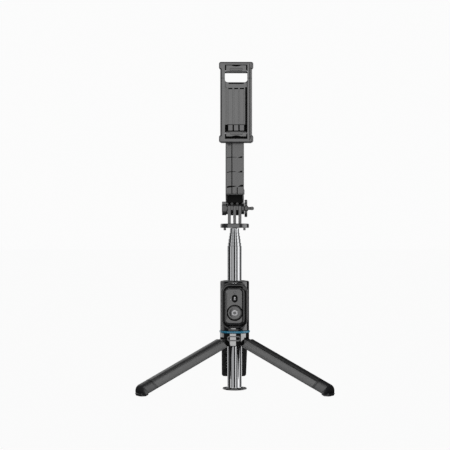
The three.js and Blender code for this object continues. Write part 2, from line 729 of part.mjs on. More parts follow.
function archGroove(z) {
  const half = Math.asin((ARM_HALF_WIDTH - 1.6) / ARCH_RADIUS);
  const shape = new THREE.Shape();
  const centre = z - ARCH_RADIUS;
  const inner = ARCH_RADIUS - ARCH_GROOVE;
  shape.absarc(0, centre, ARCH_RADIUS, Math.PI / 2 - half, Math.PI / 2 + half);
  shape.absarc(0, centre, inner, Math.PI / 2 + half, Math.PI / 2 - half, true);
  shape.closePath();
  return prism('y', shape, [ARM_FRONT - 1, ARM_FRONT + ARM_GROOVE_DEPTH], 4);
}

function addArm(parent) {
  const front = new THREE.Shape();
  front.moveTo(-ARM_HALF_WIDTH, TILT_Z + 3);
  front.lineTo(ARM_HALF_WIDTH, TILT_Z + 3);
  front.lineTo(ARM_HALF_WIDTH, SWIVEL_Z);
  front.absarc(0, SWIVEL_Z, ARM_HALF_WIDTH, 0, Math.PI);
  front.closePath();
  const body = prism('x', armProfile(), [-ARM_HALF_WIDTH, ARM_HALF_WIDTH], 6)
    .intersect(prism('y', front, [-30, 10], 10));
  const grooves = ARM_GROOVE_XS.map((x) => box(
    [x - ARM_GROOVE_WIDTH / 2, x + ARM_GROOVE_WIDTH / 2],
    [ARM_FRONT - 1, ARM_FRONT + ARM_GROOVE_DEPTH],
    [TILT_Z + 14, SWIVEL_Z - ARM_HALF_WIDTH - 2],
  ));
  grooves.push(...ARCH_HEIGHTS.map(archGroove));
  const tongues = TONGUES.map(([from, to]) => joined(
    rod('x', [from, to], TONGUE_RADIUS, 0, TILT_Z, 24),
    prism('x', polygon([
      [-6.6, TILT_Z + 2], [2, TILT_Z + 6], [-4.6, TILT_Z + 12], [-12, TILT_Z + 9],
    ]), [from, to]),
  ));
  const bossHole = rod('y', [-30, 0], SWIVEL_HOLE_RADIUS, 0, SWIVEL_Z, 16);
  const headRoom = rod('y', [ARM_BACK - 2.2, 0], SWIVEL_HEAD_RADIUS + 0.4, 0, SWIVEL_Z, 20);
  const tiltHole = rod('x', [-8, 8], TILT_HOLE_RADIUS, 0, TILT_Z, 12);
  const arm = cut(
    joined(cut(body, ...grooves), ...tongues),
    bossHole,
    headRoom,
    tiltHole,
  );
  parent.add(meshOf('clamp_arm', arm, satinGrey));

  const washer = cut(
    rod('y', [CLAMP_BACK + GAP, ARM_FRONT - GAP], SWIVEL_WASHER_RADIUS, 0, SWIVEL_Z, 24),
    rod('y', [-30, 0], SWIVEL_HOLE_RADIUS, 0, SWIVEL_Z, 16),
  );
  parent.add(meshOf('swivel_washer', washer, rubber));
  const screw = joined(
    rod('y', [-29, ARM_BACK - 1], SWIVEL_SHAFT_RADIUS, 0, SWIVEL_Z, 16),
    rod('y', [ARM_BACK - 1.9, ARM_BACK - 0.2], SWIVEL_HEAD_RADIUS, 0, SWIVEL_Z, 20),
  );
  parent.add(meshOf('swivel_screw', screw, steel));
}

// ---------------------------------------------------------------- phone clamp

function bothSides(make) {
  return [-1, 1].map((side) => make(side));
}

function span(side, inner, outer) {
  return side < 0 ? [-outer, -inner] : [inner, outer];
}

// The clamp's outline block between two heights, with a narrowed front edge.
function clampBlock([bottom, top], back) {
  const height = 2 * CLAMP_HALF_HEIGHT;
  const outline = roundedRectangle(2 * CLAMP_HALF_WIDTH, height, 3);
  const frame = prism('y', outline, [CLAMP_FRONT, 0], 4, 1.1);
  const bumpers = [-1, 1].map((end) => {
    const middle = end * (CLAMP_HALF_HEIGHT - BUMPER_HEIGHT / 2);
    const shape = roundedRectangle(2 * BUMPER_HALF_WIDTH, BUMPER_HEIGHT, 2, 0, middle);
    return prism('y', shape, [CLAMP_FRONT + 0.2, 0], 4, 1.1);
  });
  return joined(frame, ...bumpers).intersect(box([-20, 20], [-40, back], [bottom, top]));
}

function addClampBase(parent) {
  const wide = OPENING_HALF_WIDTH;
  const shell = cut(
    clampBlock([-50, SEAM_Z], BASE_BACK),
    box([-wide, wide], [-50, 0], [OPENING_BOTTOM, 60]),
    ...bothSides((side) => box(
      span(side, wide - 1, CHANNEL_OUTER), [CHANNEL_FRONT, 0], [CHANNEL_BOTTOM, 60],
    )),
  );
  const web = cut(
    box([-wide - 1, wide + 1], [WEB_FRONT, BASE_BACK], [OPENING_BOTTOM - 1, CHANNEL_BOTTOM]),
    ...bothSides((side) => box(
      span(side, TAB_SPAN, OPENING_HALF_WIDTH), [-40, 0], [TAB_BOTTOM, CHANNEL_BOTTOM + 1],
    )),
  );
  const tabs = PLATE_RIB_XS.map((x) => box(
    [x - PLATE_RIB_HALF, x + PLATE_RIB_HALF], [PLATE_FRONT, WEB_FRONT + 1], [TAB_BOTTOM, CHANNEL_BOTTOM],
  ));
  const lugs = bothSides((side) => box(
    span(side, wide, CHANNEL_OUTER + 0.5), [-29.8, BASE_BACK], [SPRING_TOP + GAP, SEAM_Z],
  ));
  const rodHoles = bothSides((side) => (
    rod('z', [-27, 30], ROD_RADIUS + GAP, side * RAIL_LINE_X, RAIL_LINE_Y, SMALL)
  ));
  const pinHole = rod('x', [-13, 13], CLAW_HOLE_RADIUS, CLAW_PIVOT_Y, LOWER_PIVOT_Z, SMALL);
  const screwHole = bothSides((side) => (
    rod('y', [-30, 0], SCREW_HOLE_RADIUS, side * RAIL_LINE_X, COVER_SCREW_Z, SMALL)
  ));
  const base = cut(joined(shell, web, ...tabs, ...lugs), ...rodHoles, pinHole, ...screwHole);
  parent.add(meshOf('clamp_base', base, satinGrey));
}

function addClampCover(parent) {
  const screwLine = (radius, from) => bothSides((side) => (
    rod('y', [from, 0], radius, side * RAIL_LINE_X, COVER_SCREW_Z, SMALL)
  ));
  const bossX = -CLAMP_X;
  const outline = clampBlock([-50, COVER_TOP], CLAMP_BACK)
    .intersect(box([-20, 20], [COVER_FRONT, 0], [-50, 50]));
  const cover = cut(
    joined(outline, rod('y', [-29.5, COVER_FRONT + 0.5], COVER_BOSS_RADIUS, bossX, 0, 24)),
    rod('y', [-40, 0], SWIVEL_SHAFT_RADIUS + GAP, bossX, 0, 16),
    ...screwLine(SCREW_HOLE_RADIUS, -40),
    ...screwLine(SCREW_RECESS_RADIUS, CLAMP_BACK - 0.9),
  );
  parent.add(meshOf('clamp_back_cover', cover, satinGrey));
  [['left', -1], ['right', 1]].forEach(([name, side]) => {
    const x = side * RAIL_LINE_X;
    const screw = joined(
      rod('y', [-29.5, CLAMP_BACK - 0.3], SCREW_SHANK_RADIUS, x, COVER_SCREW_Z, SMALL),
      rod('y', [CLAMP_BACK - 0.6, CLAMP_BACK], SCREW_HEAD_RADIUS, x, COVER_SCREW_Z, SMALL),
    );
    parent.add(meshOf(`cover_screw_${name}`, screw, steel));
  });
}

function addClampSlider(parent) {
  const wide = OPENING_HALF_WIDTH;
  const headBack = CLAMP_BACK;
  const head = cut(
    clampBlock([SEAM_Z + GAP, 50], headBack),
    box([-wide, wide], [-50, 0], [0, OPENING_TOP]),
  );
  const wall = box([-wide - 1, wide + 1], [-28.6, headBack], [29.2, OPENING_TOP + 1]);
  const flange = CHANNEL_OUTER - GAP;
  const plate = joined(
    box([-flange, flange], [FLANGE_FRONT, PLATE_BACK], [PLATE_BOTTOM, PLATE_TOP]),
    box([-PLATE_HALF_WIDTH, PLATE_HALF_WIDTH], [PLATE_FRONT, PLATE_BACK], [PLATE_BOTTOM, PLATE_TOP]),
    box([GAP - wide, wide - GAP], [PLATE_FRONT, PLATE_BACK], [PLATE_BAND_BOTTOM, PLATE_TOP]),
  );
  const strips = bothSides((side) => box(
    span(side, wide + GAP, flange), [FLANGE_FRONT, PLATE_BACK], [PLATE_TOP - 1, SEAM_Z + 2],
  ));
  const corners = bothSides((side) => prism('y', polygon([
    [side * (wide - 2.4), PLATE_TOP - 0.5],
    [side * (wide + 0.6), PLATE_TOP - 0.5],
    [side * (wide + 0.6), PLATE_TOP + 2.6],
    [side * wide, PLATE_TOP + 2.6],
    [side * (wide - 2.4), PLATE_TOP],
  ]), [FLANGE_FRONT, PLATE_BACK]));
  const ribs = PLATE_RIB_XS.map((x) => box(
    [x - PLATE_RIB_HALF, x + PLATE_RIB_HALF],
    [PLATE_FRONT - 0.4, PLATE_FRONT + 0.5],
    [PLATE_BOTTOM, PLATE_RIB_TOP],
  ));
  const shortSlots = PLATE_RIB_XS.map((x) => (
    box([x - SHORT_SLOT_HALF, x + SHORT_SLOT_HALF], [-40, 0], SHORT_SLOT_HEIGHTS)
  ));
  const longSlot = box([-LONG_SLOT_HALF, LONG_SLOT_HALF], [-40, 0], LONG_SLOT_HEIGHTS);
  const lugs = bothSides((side) => cut(
    box(span(side, wide + 0.2, flange), [PLATE_BACK - 0.5, -26.4], [PLATE_BOTTOM, SPRING_BOTTOM - 0.7]),
    rod('z', [-30, 30], ROD_RADIUS + GAP, side * RAIL_LINE_X, RAIL_LINE_Y, SMALL),
  ));
  const pinHole = rod('x', [-13.5, 13.5], CLAW_HOLE_RADIUS, CLAW_PIVOT_Y, UPPER_PIVOT_Z, SMALL);
  const slider = cut(
    joined(head, wall, plate, ...strips, ...corners, ...ribs, ...lugs),
    ...shortSlots,
    longSlot,
    pinHole,
  );
  parent.add(meshOf('clamp_slider', slider, satinGrey));
}

class SpringCurve extends THREE.Curve {
  constructor(x) {
    super();
    this.x = x;
  }

  getPoint(t, target = new THREE.Vector3()) {
    const angle = t * SPRING_TURNS * 2 * Math.PI;
    return target.set(
      this.x + SPRING_RADIUS * Math.cos(angle),
      RAIL_LINE_Y + SPRING_RADIUS * Math.sin(angle),
      THREE.MathUtils.lerp(SPRING_BOTTOM + 0.3, SPRING_TOP - 0.3, t),
    );
  }
}

function addClampInsides(parent) {
  const wire = SPRING_WIRE;
  const section = polygon([[-wire, -wire], [wire, -wire], [wire, wire], [-wire, wire]]);
  [['left', -1], ['right', 1]].forEach(([name, side]) => {
    const x = side * RAIL_LINE_X;
    const guide = rod('z', [-26, SEAM_Z - 0.5], ROD_RADIUS, x, RAIL_LINE_Y, SMALL);
    parent.add(meshOf(`guide_rod_${name}`, guide, steel));
    const spring = solidFrom(new THREE.ExtrudeGeometry(section, {
      steps: SPRING_TURNS * 6,
      extrudePath: new SpringCurve(x),
    }));
    parent.add(meshOf(`clamp_spring_${name}`, spring, steel));
  });
}

// Claws are drawn from their pivot: `up` is 1 for the claw that closes upwards.
function addClaw(parent, name, pivotZ, up, reach, notchDepth) {
  const half = CLAW_HALF_WIDTH;
  const y = (offset) => CLAW_PIVOT_Y + offset;
  const z = (offset) => pivotZ + up * offset;
  const heights = (from, to) => (up > 0 ? [z(from), z(to)] : [z(to), z(from)]);
  const barrel = rod('x', [-half, half], CLAW_BARREL, CLAW_PIVOT_Y, pivotZ, 20);
  const blade = box([-half, half], [y(-CLAW_BARREL), y(1.6)], heights(0, reach));
  const notchRadius = 12;
  const notchZ = z(reach - notchDepth + notchRadius);
  const notch = rod('y', [-40, 0], notchRadius, 0, notchZ, 32);
  const padHalf = 1.2;
  const padMiddle = (reach - CLAW_BARREL) / 2 - 0.4;
  const padFrom = padMiddle - padHalf;
  const padTo = padMiddle + padHalf;
  const pocketBack = y(-1.1);
  const padPocket = box([-6.4, 6.4], [-40, pocketBack], heights(padFrom - GAP, padTo + GAP));
  const hole = rod('x', [-13, 13], CLAW_HOLE_RADIUS, CLAW_PIVOT_Y, pivotZ, SMALL);
  const claw = cut(joined(blade, barrel), notch, padPocket, hole);
  parent.add(meshOf(`${name}_claw`, claw, satinGrey));
  const pad = box([-6.1, 6.1], [y(-2.2), y(-1.4)], heights(padFrom, padTo));
  parent.add(meshOf(`${name}_claw_pad`, pad, rubber));
  const pin = rod('x', [-12.6, 12.6], CLAW_PIN_RADIUS, CLAW_PIVOT_Y, pivotZ, SMALL);
  parent.add(meshOf(`${name}_claw_pin`, pin, steel));
}

function addClamp(parent) {
  const clamp = new THREE.Group();
  clamp.position.set(CLAMP_X, 0, SWIVEL_Z);
  addClampBase(clamp);
  addClampCover(clamp);
  addClampSlider(clamp);
  addClampInsides(clamp);
  addClaw(clamp, 'upper', UPPER_PIVOT_Z, 1, 5.2, 1.1);
  addClaw(clamp, 'lower', LOWER_PIVOT_Z, -1, 3.2, 0.9);
  parent.add(clamp);
}

addPole(stick);
addFootDisc(stick);
addHandle(stick);
addRemote(stick);
addHub(stick);
addLegs(stick);
addPanHead(stick);
addTiltHinge(stick);
addArm(stick);
addClamp(stick);

export default stick;
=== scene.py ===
import json
import math

import bmesh
import bpy
from mathutils import Matrix, Vector


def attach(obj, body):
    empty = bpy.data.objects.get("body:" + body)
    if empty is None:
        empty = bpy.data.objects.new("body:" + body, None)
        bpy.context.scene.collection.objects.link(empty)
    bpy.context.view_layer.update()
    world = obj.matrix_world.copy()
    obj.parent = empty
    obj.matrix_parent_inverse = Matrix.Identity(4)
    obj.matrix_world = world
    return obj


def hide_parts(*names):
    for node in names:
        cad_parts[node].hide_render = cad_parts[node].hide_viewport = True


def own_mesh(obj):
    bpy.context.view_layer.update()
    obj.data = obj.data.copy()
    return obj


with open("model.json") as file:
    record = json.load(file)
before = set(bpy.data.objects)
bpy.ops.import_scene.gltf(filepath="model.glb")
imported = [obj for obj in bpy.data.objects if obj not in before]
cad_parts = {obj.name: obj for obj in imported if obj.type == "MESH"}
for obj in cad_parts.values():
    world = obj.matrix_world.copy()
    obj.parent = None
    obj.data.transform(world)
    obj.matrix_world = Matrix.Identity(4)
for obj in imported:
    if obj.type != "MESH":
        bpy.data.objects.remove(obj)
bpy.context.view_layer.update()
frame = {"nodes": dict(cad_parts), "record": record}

scene = bpy.context.scene
MM = 0.001


def new_object(name, data):
    made = bpy.data.objects.new(name, data)
    scene.collection.objects.link(made)
    return made


# ---- camera

PHOTO_PIXELS = 450
CAMERA_DISTANCE = 1.4
EYE_HEIGHT = 0.1644
AXIS_FROM_MIDDLE = 0.0096        # the pole stands this far right of the picture's middle
SENSOR = 36.0

camera_data = bpy.data.cameras.new("camera")
camera_data.sensor_width = SENSOR
camera_data.lens = SENSOR * CAMERA_DISTANCE / (PHOTO_PIXELS * MM)
camera = new_object("camera", camera_data)
camera.location = (-AXIS_FROM_MIDDLE, -CAMERA_DISTANCE, EYE_HEIGHT)
camera.rotation_euler = (math.radians(90), 0, 0)
scene.camera = camera
scene.view_settings.view_transform = "Standard"

# ---- studio

FILL = 0.03                      # the world's light on the object
BACKDROP = 0.97                  # the world and the floor as the camera sees them
FLOOR_GLOW = 0.96
FLOOR_REACH = 8.0
LIGHT_DISTANCE = 1.2
LIGHT_HEIGHTS = (-0.7, 1.2)
OVERHEAD = Vector((0, 0.1, 1.5))
ORIGIN = Vector((0, 0, 0))

# One collection for each group of pieces that shares its lights.
lit = {}
for group in ("plastic", "clamp", "legs", "remote", "gloss", "hub", "mirror"):
    lit[group] = bpy.data.collections.new("lit_" + group)


def world_light():
    world = bpy.data.worlds.new("studio")
    scene.world = world
    world.use_nodes = True
    nodes = world.node_tree.nodes
    links = world.node_tree.links
    nodes.clear()
    output = nodes.new("ShaderNodeOutputWorld")
    dark = nodes.new("ShaderNodeBackground")
    dark.inputs["Color"].default_value = (FILL, FILL, FILL, 1)
    pale = nodes.new("ShaderNodeBackground")
    pale.inputs["Color"].default_value = (BACKDROP, BACKDROP, BACKDROP, 1)
    path = nodes.new("ShaderNodeLightPath")
    mix = nodes.new("ShaderNodeMixShader")
    links.new(path.outputs["Is Camera Ray"], mix.inputs[0])
    links.new(dark.outputs[0], mix.inputs[1])
    links.new(pale.outputs[0], mix.inputs[2])
    links.new(mix.outputs[0], output.inputs[0])


def floor_plane():
    mesh = bpy.data.meshes.new("floor")
    corners = [(x * FLOOR_REACH, y * FLOOR_REACH, 0) for x, y in ((-1, -1), (1, -1), (1, 1), (-1, 1))]
    mesh.from_pydata(corners, [], [(0, 1, 2, 3)])
    floor = new_object("floor", mesh)
    material = bpy.data.materials.new("floor")
    material.use_nodes = True
    shader = material.node_tree.nodes["Principled BSDF"]
    shader.inputs["Base Color"].default_value = (0.02, 0.02, 0.02, 1)
    shader.inputs["Roughness"].default_value = 0.9
    shader.inputs["Specular IOR Level"].default_value = 0
    shader.inputs["Emission Color"].default_value = (1, 1, 1, 1)
    shader.inputs["Emission Strength"].default_value = FLOOR_GLOW
    mesh.materials.append(material)
    floor.visible_glossy = False
    floor.visible_shadow = False


def softbox(group, name, span, radiance, distance=LIGHT_DISTANCE, heights=LIGHT_HEIGHTS):
    """An upright panel that fills a span of azimuths. 0 is at the camera, 90 on the right."""
    middle = math.radians((span[0] + span[1]) / 2)
    half = math.radians((span[1] - span[0]) / 2)
    width = 2 * distance * math.tan(half)
    height = heights[1] - heights[0]
    z = (heights[0] + heights[1]) / 2
    place = Vector((distance * math.sin(middle), -distance * math.cos(middle), z))
    panel(group, name, place, Vector((0, 0, z)), width, height, radiance)


def panel(group, name, place, target, width, height, radiance):
    data = bpy.data.lights.new(name, "AREA")
    data.shape = "RECTANGLE"
    data.size = width
    data.size_y = height
    data.energy = radiance * math.pi * width * height
    light = new_object(name, data)
    light.location = place
    light.rotation_euler = (target - place).to_track_quat("-Z", "Y").to_euler()
    light.visible_camera = False
    light.light_linking.receiver_collection = lit[group]


def overhead(group, name, radiance, side=1.6):
    panel(group, name, OVERHEAD, ORIGIN, side, side, radiance)


world_light()
floor_plane()
softbox("plastic", "key", (-58, 38), 3.0)
softbox("plastic", "side", (64, 112), 4.0)
softbox("plastic", "left_back", (-150, -98), 0.3)
softbox("plastic", "back", (183, 228), 1.8)
overhead("plastic", "top", 2.2)
panel("plastic", "under", Vector((0, -0.6, -1.4)), Vector((0, 0, 0.1)), 1.2, 1.2, 1.5)
softbox("gloss", "key_gloss", (-50, 28), 2.0)
softbox("gloss", "side_gloss", (68, 112), 3.6)
softbox("gloss", "left_back_gloss", (-135, -92), 1.1)
softbox("gloss", "back_gloss", (165, 215), 1.0)
overhead("gloss", "top_gloss", 1.2)
softbox("clamp", "clamp_front", (-54, 15), 3.6)
softbox("clamp", "clamp_side", (52, 112), 3.8)
softbox("clamp", "clamp_left", (-125, -86), 1.6)
overhead("clamp", "clamp_top", 1.6, side=1.0)
softbox("clamp", "clamp_back", (158, 205), 1.4)
softbox("plastic", "back_right", (150, 180), 1.0)
softbox("legs", "legs_front", (-58, 34), 2.8, heights=(-0.5, 1.05))
softbox("legs", "legs_back", (184, 226), 0.8, heights=(0.2, 1.2))
panel("legs", "legs_top", Vector((0.1, -0.4, 1.5)), ORIGIN, 1.6, 1.4, 3.4)
softbox("remote", "remote_front", (-78, 10), 3.0)
softbox("remote", "remote_left", (-150, -100), 0.8)
softbox("remote", "remote_side", (70, 112), 1.6)
overhead("remote", "remote_top", 1.0)
softbox("hub", "hub_front", (-38, 10), 5.2)
softbox("hub", "hub_side", (51, 99), 4.6)
softbox("hub", "hub_left", (-150, -95), 1.6)

# The chrome shows these as upright bands. Each stands a little behind the one before.
STRIPS = [
    ((-71, -58), 0.75), ((-50, -11), 0.36), ((13, 25), 0.95), ((46, 59), 0.75), ((61, 80), 1.25),
    ((82, 100), 0.32), ((135, 160), 0.8), ((161, 200), 0.9), ((-145, -125), 0.7),
]
for index, (span, radiance) in enumerate(STRIPS):
    softbox("mirror", f"strip_{index}", span, radiance, 1.0 + 0.01 * index)

# ---- finishes

BUMP_HEIGHT = 0.0001


def node(tree, kind, **values):
    made = tree.nodes.new("ShaderNode" + kind)
    for name, value in values.items():
        if name in made.inputs:
            made.inputs[name].default_value = value
        else:
            setattr(made, name, value)
    return made


def scaled_position(tree, stretch):
    position = node(tree, "TexCoord")
    mapping = node(tree, "Mapping")
    mapping.inputs["Scale"].default_value = stretch
    tree.links.new(position.outputs["Object"], mapping.inputs["Vector"])
    return mapping.outputs["Vector"]


def span_map(tree, source, low, high, source_low=0.3, source_high=0.7):
    ramp = node(tree, "MapRange")
    ramp.inputs["From Min"].default_value = source_low
    ramp.inputs["From Max"].default_value = source_high
    ramp.inputs["To Min"].default_value = low
    ramp.inputs["To Max"].default_value = high
    tree.links.new(source, ramp.inputs["Value"])
    return ramp.outputs["Result"]


def blend_colours(tree, factor, first, second):
    mix = node(tree, "Mix", data_type="RGBA")
    tree.links.new(factor, mix.inputs[0])
    for socket, value in ((mix.inputs[6], first), (mix.inputs[7], second)):
        if hasattr(value, "is_linked"):
            tree.links.new(value, socket)
        else:
            socket.default_value = (*value, 1)
    return mix.outputs[2]


def finish(name, colour, rough, metallic=0.0, grain=1800.0, bump=0.05, stretch=(1, 1, 1),
           mottle=0.12, wear=None, smudge=45.0, specular=0.5, ior=1.45, flecks=None):
    """A procedural finish: fine grain in the bump, smudged roughness, mottled colour and worn edges.

    `rough` is the roughness from polished to smudged, `grain` and `smudge` are noise scales, `wear` is the
    colour of worn edges, and `flecks` is the colour and scale of the flecks in a metallic finish.
    """
    material = bpy.data.materials.new(name)
    material.use_nodes = True
    tree = material.node_tree
    shader = tree.nodes["Principled BSDF"]
    shader.inputs["Metallic"].default_value = metallic
    shader.inputs["Specular IOR Level"].default_value = specular
    shader.inputs["IOR"].default_value = ior
    position = scaled_position(tree, stretch)
    fine = node(tree, "TexNoise", Scale=grain, Detail=4.0, Roughness=0.6)
    broad = node(tree, "TexNoise", Scale=smudge, Detail=5.0, Roughness=0.65)
    tree.links.new(position, fine.inputs["Vector"])
    tree.links.new(position, broad.inputs["Vector"])
    dark = tuple(c * (1 - mottle) for c in colour)
    light = tuple(min(1, c * (1 + mottle)) for c in colour)
    tone = blend_colours(tree, span_map(tree, broad.outputs["Fac"], 0, 1), dark, light)
    if flecks:
        cells = node(tree, "TexVoronoi", Scale=flecks[1])
        tree.links.new(position, cells.inputs["Vector"])
        shine = span_map(tree, cells.outputs["Distance"], 1, 0, 0.05, 0.25)
        tone = blend_colours(tree, shine, tone, flecks[0])
    if wear:
        geometry = node(tree, "NewGeometry")
        edge = span_map(tree, geometry.outputs["Pointiness"], 0, 1, 0.52, 0.62)
        broken = node(tree, "Math", operation="MULTIPLY")
        tree.links.new(edge, broken.inputs[0])
        tree.links.new(span_map(tree, fine.outputs["Fac"], 0.2, 1), broken.inputs[1])
        tone = blend_colours(tree, broken.outputs[0], tone, wear)
    tree.links.new(tone, shader.inputs["Base Color"])
    rough_low, rough_high = rough
    tree.links.new(span_map(tree, broad.outputs["Fac"], rough_low, rough_high), shader.inputs["Roughness"])
    raised = node(tree, "Bump")
    raised.inputs["Strength"].default_value = bump
    raised.inputs["Distance"].default_value = BUMP_HEIGHT
    tree.links.new(fine.outputs["Fac"], raised.inputs["Height"])
    tree.links.new(raised.outputs["Normal"], shader.inputs["Normal"])
    return material


SATIN = (0.009, 0.009, 0.0095)
SATIN_WORN = (0.016, 0.016, 0.016)
LEG_BLACK = (0.006, 0.006, 0.0065)
DEEP_BLACK = (0.004, 0.004, 0.0045)
# Near-black: the gloss hub's own colour, and the colour of the painted shade.
GLOSS_AND_PAINTED_SHADE_BLACK = (0.002, 0.002, 0.002)
ALONG_POLE = (1, 1, 0.03)        # stretches the grain along the pole

# Each look is its material and the group of lights that falls on it.
finishes = {
    "satin": (finish("satin_moulded", SATIN, (0.15, 0.21), bump=0.01, wear=SATIN_WORN, ior=1.5), "plastic"),
    "clamp": (finish("clamp_satin", SATIN, (0.05, 0.09), bump=0.01, wear=SATIN_WORN, ior=1.5), "clamp"),
    "pad": (finish("pad_rubber", (0.008, 0.008, 0.0085), (0.2, 0.28), bump=0.03, ior=1.48), "clamp"),
    "foot": (finish("foot_rubber", LEG_BLACK, (0.3, 0.4), grain=1200, bump=0.03, specular=0.42), "legs"),
    "keypad": (finish("remote_satin", SATIN, (0.16, 0.22), bump=0.01, wear=SATIN_WORN, ior=1.5), "remote"),
    "leg": (finish("leg_satin", LEG_BLACK, (0.3, 0.36), grain=1400, bump=0.015, wear=(0.012, 0.012, 0.012)),
            "legs"),
    "black": (finish("black_moulded", DEEP_BLACK, (0.2, 0.3), bump=0.02, wear=(0.01, 0.01, 0.01)), "plastic"),
    "handle": (finish("handle_satin", DEEP_BLACK, (0.12, 0.2), bump=0.02), "gloss"),
    "gloss": (finish("gloss_black", GLOSS_AND_PAINTED_SHADE_BLACK, (0.03, 0.09), bump=0.01, ior=1.8), "hub"),
    # Painted shade: near-black, matt and almost without specular, given to faces in grooves, gaps and hollows
    # where shade falls. The mode key takes it whole.
    "dark": (finish("matt_black_and_painted_shade", GLOSS_AND_PAINTED_SHADE_BLACK, (0.6, 0.75), bump=0.03, specular=0.05), "plastic"),
    "chrome": (finish("chrome_plate", (0.80, 0.81, 0.83), (0.02, 0.07), 1.0, grain=900, bump=0.006,
                      stretch=ALONG_POLE, mottle=0.03), "mirror"),
    "steel": (finish("brushed_steel", (0.45, 0.45, 0.46), (0.25, 0.4), 1.0, grain=2500, stretch=(1, 1, 0.1)),
              "plastic"),
    "rubber": (finish("rubber", (0.012, 0.012, 0.0125), (0.42, 0.55), grain=1200, bump=0.06, specular=0.4),
               "plastic"),
    "blue": (finish("blue_satin", (0.007, 0.066, 0.108), (0.3, 0.4), grain=2200, bump=0.03, specular=0.3,
                    flecks=((0.03, 0.14, 0.2), 3500.0)), "plastic"),
    "board": (finish("solder_mask", (0.02, 0.13, 0.05), (0.3, 0.5), smudge=400), "plastic"),
    "lens": (finish("frosted_lens", (0.03, 0.03, 0.032), (0.15, 0.25)), "plastic"),
    "mark": (finish("printed_mark", (0.17, 0.17, 0.175), (0.35, 0.5)), "plastic"),
}
BY_SLOT = {
    "satin_grey_plastic": "satin", "black_plastic": "black", "gloss_black_plastic": "gloss",
    "chrome": "chrome", "steel": "steel", "rubber": "rubber", "blue_accent": "blue",
    "circuit_board": "board", "clear_lens": "lens",
}
SLOT_OF = {look: slot for slot, look in BY_SLOT.items()}
SLOT_OF.update({
    "clamp": "satin_grey_plastic", "keypad": "satin_grey_plastic", "leg": "satin_grey_plastic",
    "mark": "satin_grey_plastic", "handle": "black_plastic", "dark": "black_plastic",
    "foot": "rubber", "pad": "rubber",
})
for subpart in frame["record"]["subparts"]:
    cad_node = frame["nodes"][subpart["node"]]
    look, group = finishes[BY_SLOT[subpart["material_slot"]]]
    cad_node.data.materials.clear()
    cad_node.data.materials.append(look)
    lit[group].objects.link(cad_node)

# ---- solids, in millimetres

SAME_POINT = 1e-4                # points nearer than this are merged
AXIS_TOUCH = 1e-9
BEVEL_SEGMENTS = 2
SHARP_ANGLE = math.radians(38)

PLACES = {
    "x": lambda u, v, depth: (depth, u, v),
    "y": lambda u, v, depth: (u, depth, v),
    "z": lambda u, v, depth: (u, v, depth),
}


def mesh_from(points, faces):
    mesh = bpy.data.meshes.new("solid")
    build = bmesh.new()
    corners = [build.verts.new(point) for point in points]
    for face in faces:
        build.faces.new([corners[index] for index in face])
    bmesh.ops.remove_doubles(build, verts=build.verts, dist=SAME_POINT)
    bmesh.ops.recalc_face_normals(build, faces=build.faces)
    build.to_mesh(mesh)
    build.free()
    return mesh


def baked(mesh, prepare):
    """The mesh with modifiers applied. `prepare` adds them and returns its helper objects."""
    holder = new_object("holder", mesh)
    helpers = prepare(holder)
    graph = bpy.context.evaluated_depsgraph_get()
    result = bpy.data.meshes.new_from_object(holder.evaluated_get(graph))
    for thing in helpers + [holder]:
        bpy.data.objects.remove(thing)
    return result


def combine(mesh, operation, tools):
    def prepare(holder):
        helpers = []
        for tool in tools:
            helper = new_object("tool", tool)
            modifier = holder.modifiers.new("boolean", "BOOLEAN")
            modifier.operation = operation
            modifier.solver = "MANIFOLD"
            modifier.object = helper
            helpers.append(helper)
        return helpers
    return baked(mesh, prepare)


def cut(mesh, *tools):
    return combine(mesh, "DIFFERENCE", tools)


def joined(mesh, *others):
    return combine(mesh, "UNION", others)


def kept(mesh, *others):
    return combine(mesh, "INTERSECT", others)


def moved(mesh, matrix):
    copy = mesh.copy()
    copy.transform(matrix)
    return copy


def arc(cx, cy, radius, start, end, steps=12):
    points = []
    for step in range(steps + 1):
        angle = math.radians(start + (end - start) * step / steps)
        points.append((cx + radius * math.cos(angle), cy + radius * math.sin(angle)))
    return points


def curve(start, control, end, steps=12):
    """A quadratic curve from start to end, without its first point."""
    points = []
    for step in range(1, steps + 1):
        t = step / steps
        points.append(tuple((1 - t) ** 2 * a + 2 * t * (1 - t) * b + t * t * c
                            for a, b, c in zip(start, control, end)))
    return points


def rounded(width, height, radius, cx=0.0, cy=0.0, steps=8, low_radius=None):
    """A rectangle about (cx, cy) with round corners. `low_radius` is for its two lower corners."""
    low = low_radius or radius
    right, left = cx + width / 2, cx - width / 2
    top, bottom = cy + height / 2, cy - height / 2
    return (arc(right - low, bottom + low, low, -90, 0, steps)
            + arc(right - radius, top - radius, radius, 0, 90, steps)
            + arc(left + radius, top - radius, radius, 90, 180, steps)
            + arc(left + low, bottom + low, low, 180, 270, steps))


def tidy_outline(outline):
    """The outline without repeated points, running anticlockwise."""
    points = [p for i, p in enumerate(outline) if math.dist(p, outline[i - 1]) > SAME_POINT]
    area = sum(a[0] * b[1] - b[0] * a[1] for a, b in zip(points, points[1:] + points[:1]))
    return points if area > 0 else points[::-1]


def inset(outline, amount):
    """The outline moved inwards by an even amount, with its corners mitred."""
    result = []
    for index, (x, y) in enumerate(outline):
        before = outline[index - 1]
        after = outline[(index + 1) % len(outline)]
        come = Vector((x - before[0], y - before[1])).normalized()
        leave = Vector((after[0] - x, after[1] - y)).normalized()
        first = Vector((-come.y, come.x))
        second = Vector((-leave.y, leave.x))
        reach = amount / max(0.25, 1 + first.dot(second))
        result.append((x + (first.x + second.x) * reach, y + (first.y + second.y) * reach))
    return result


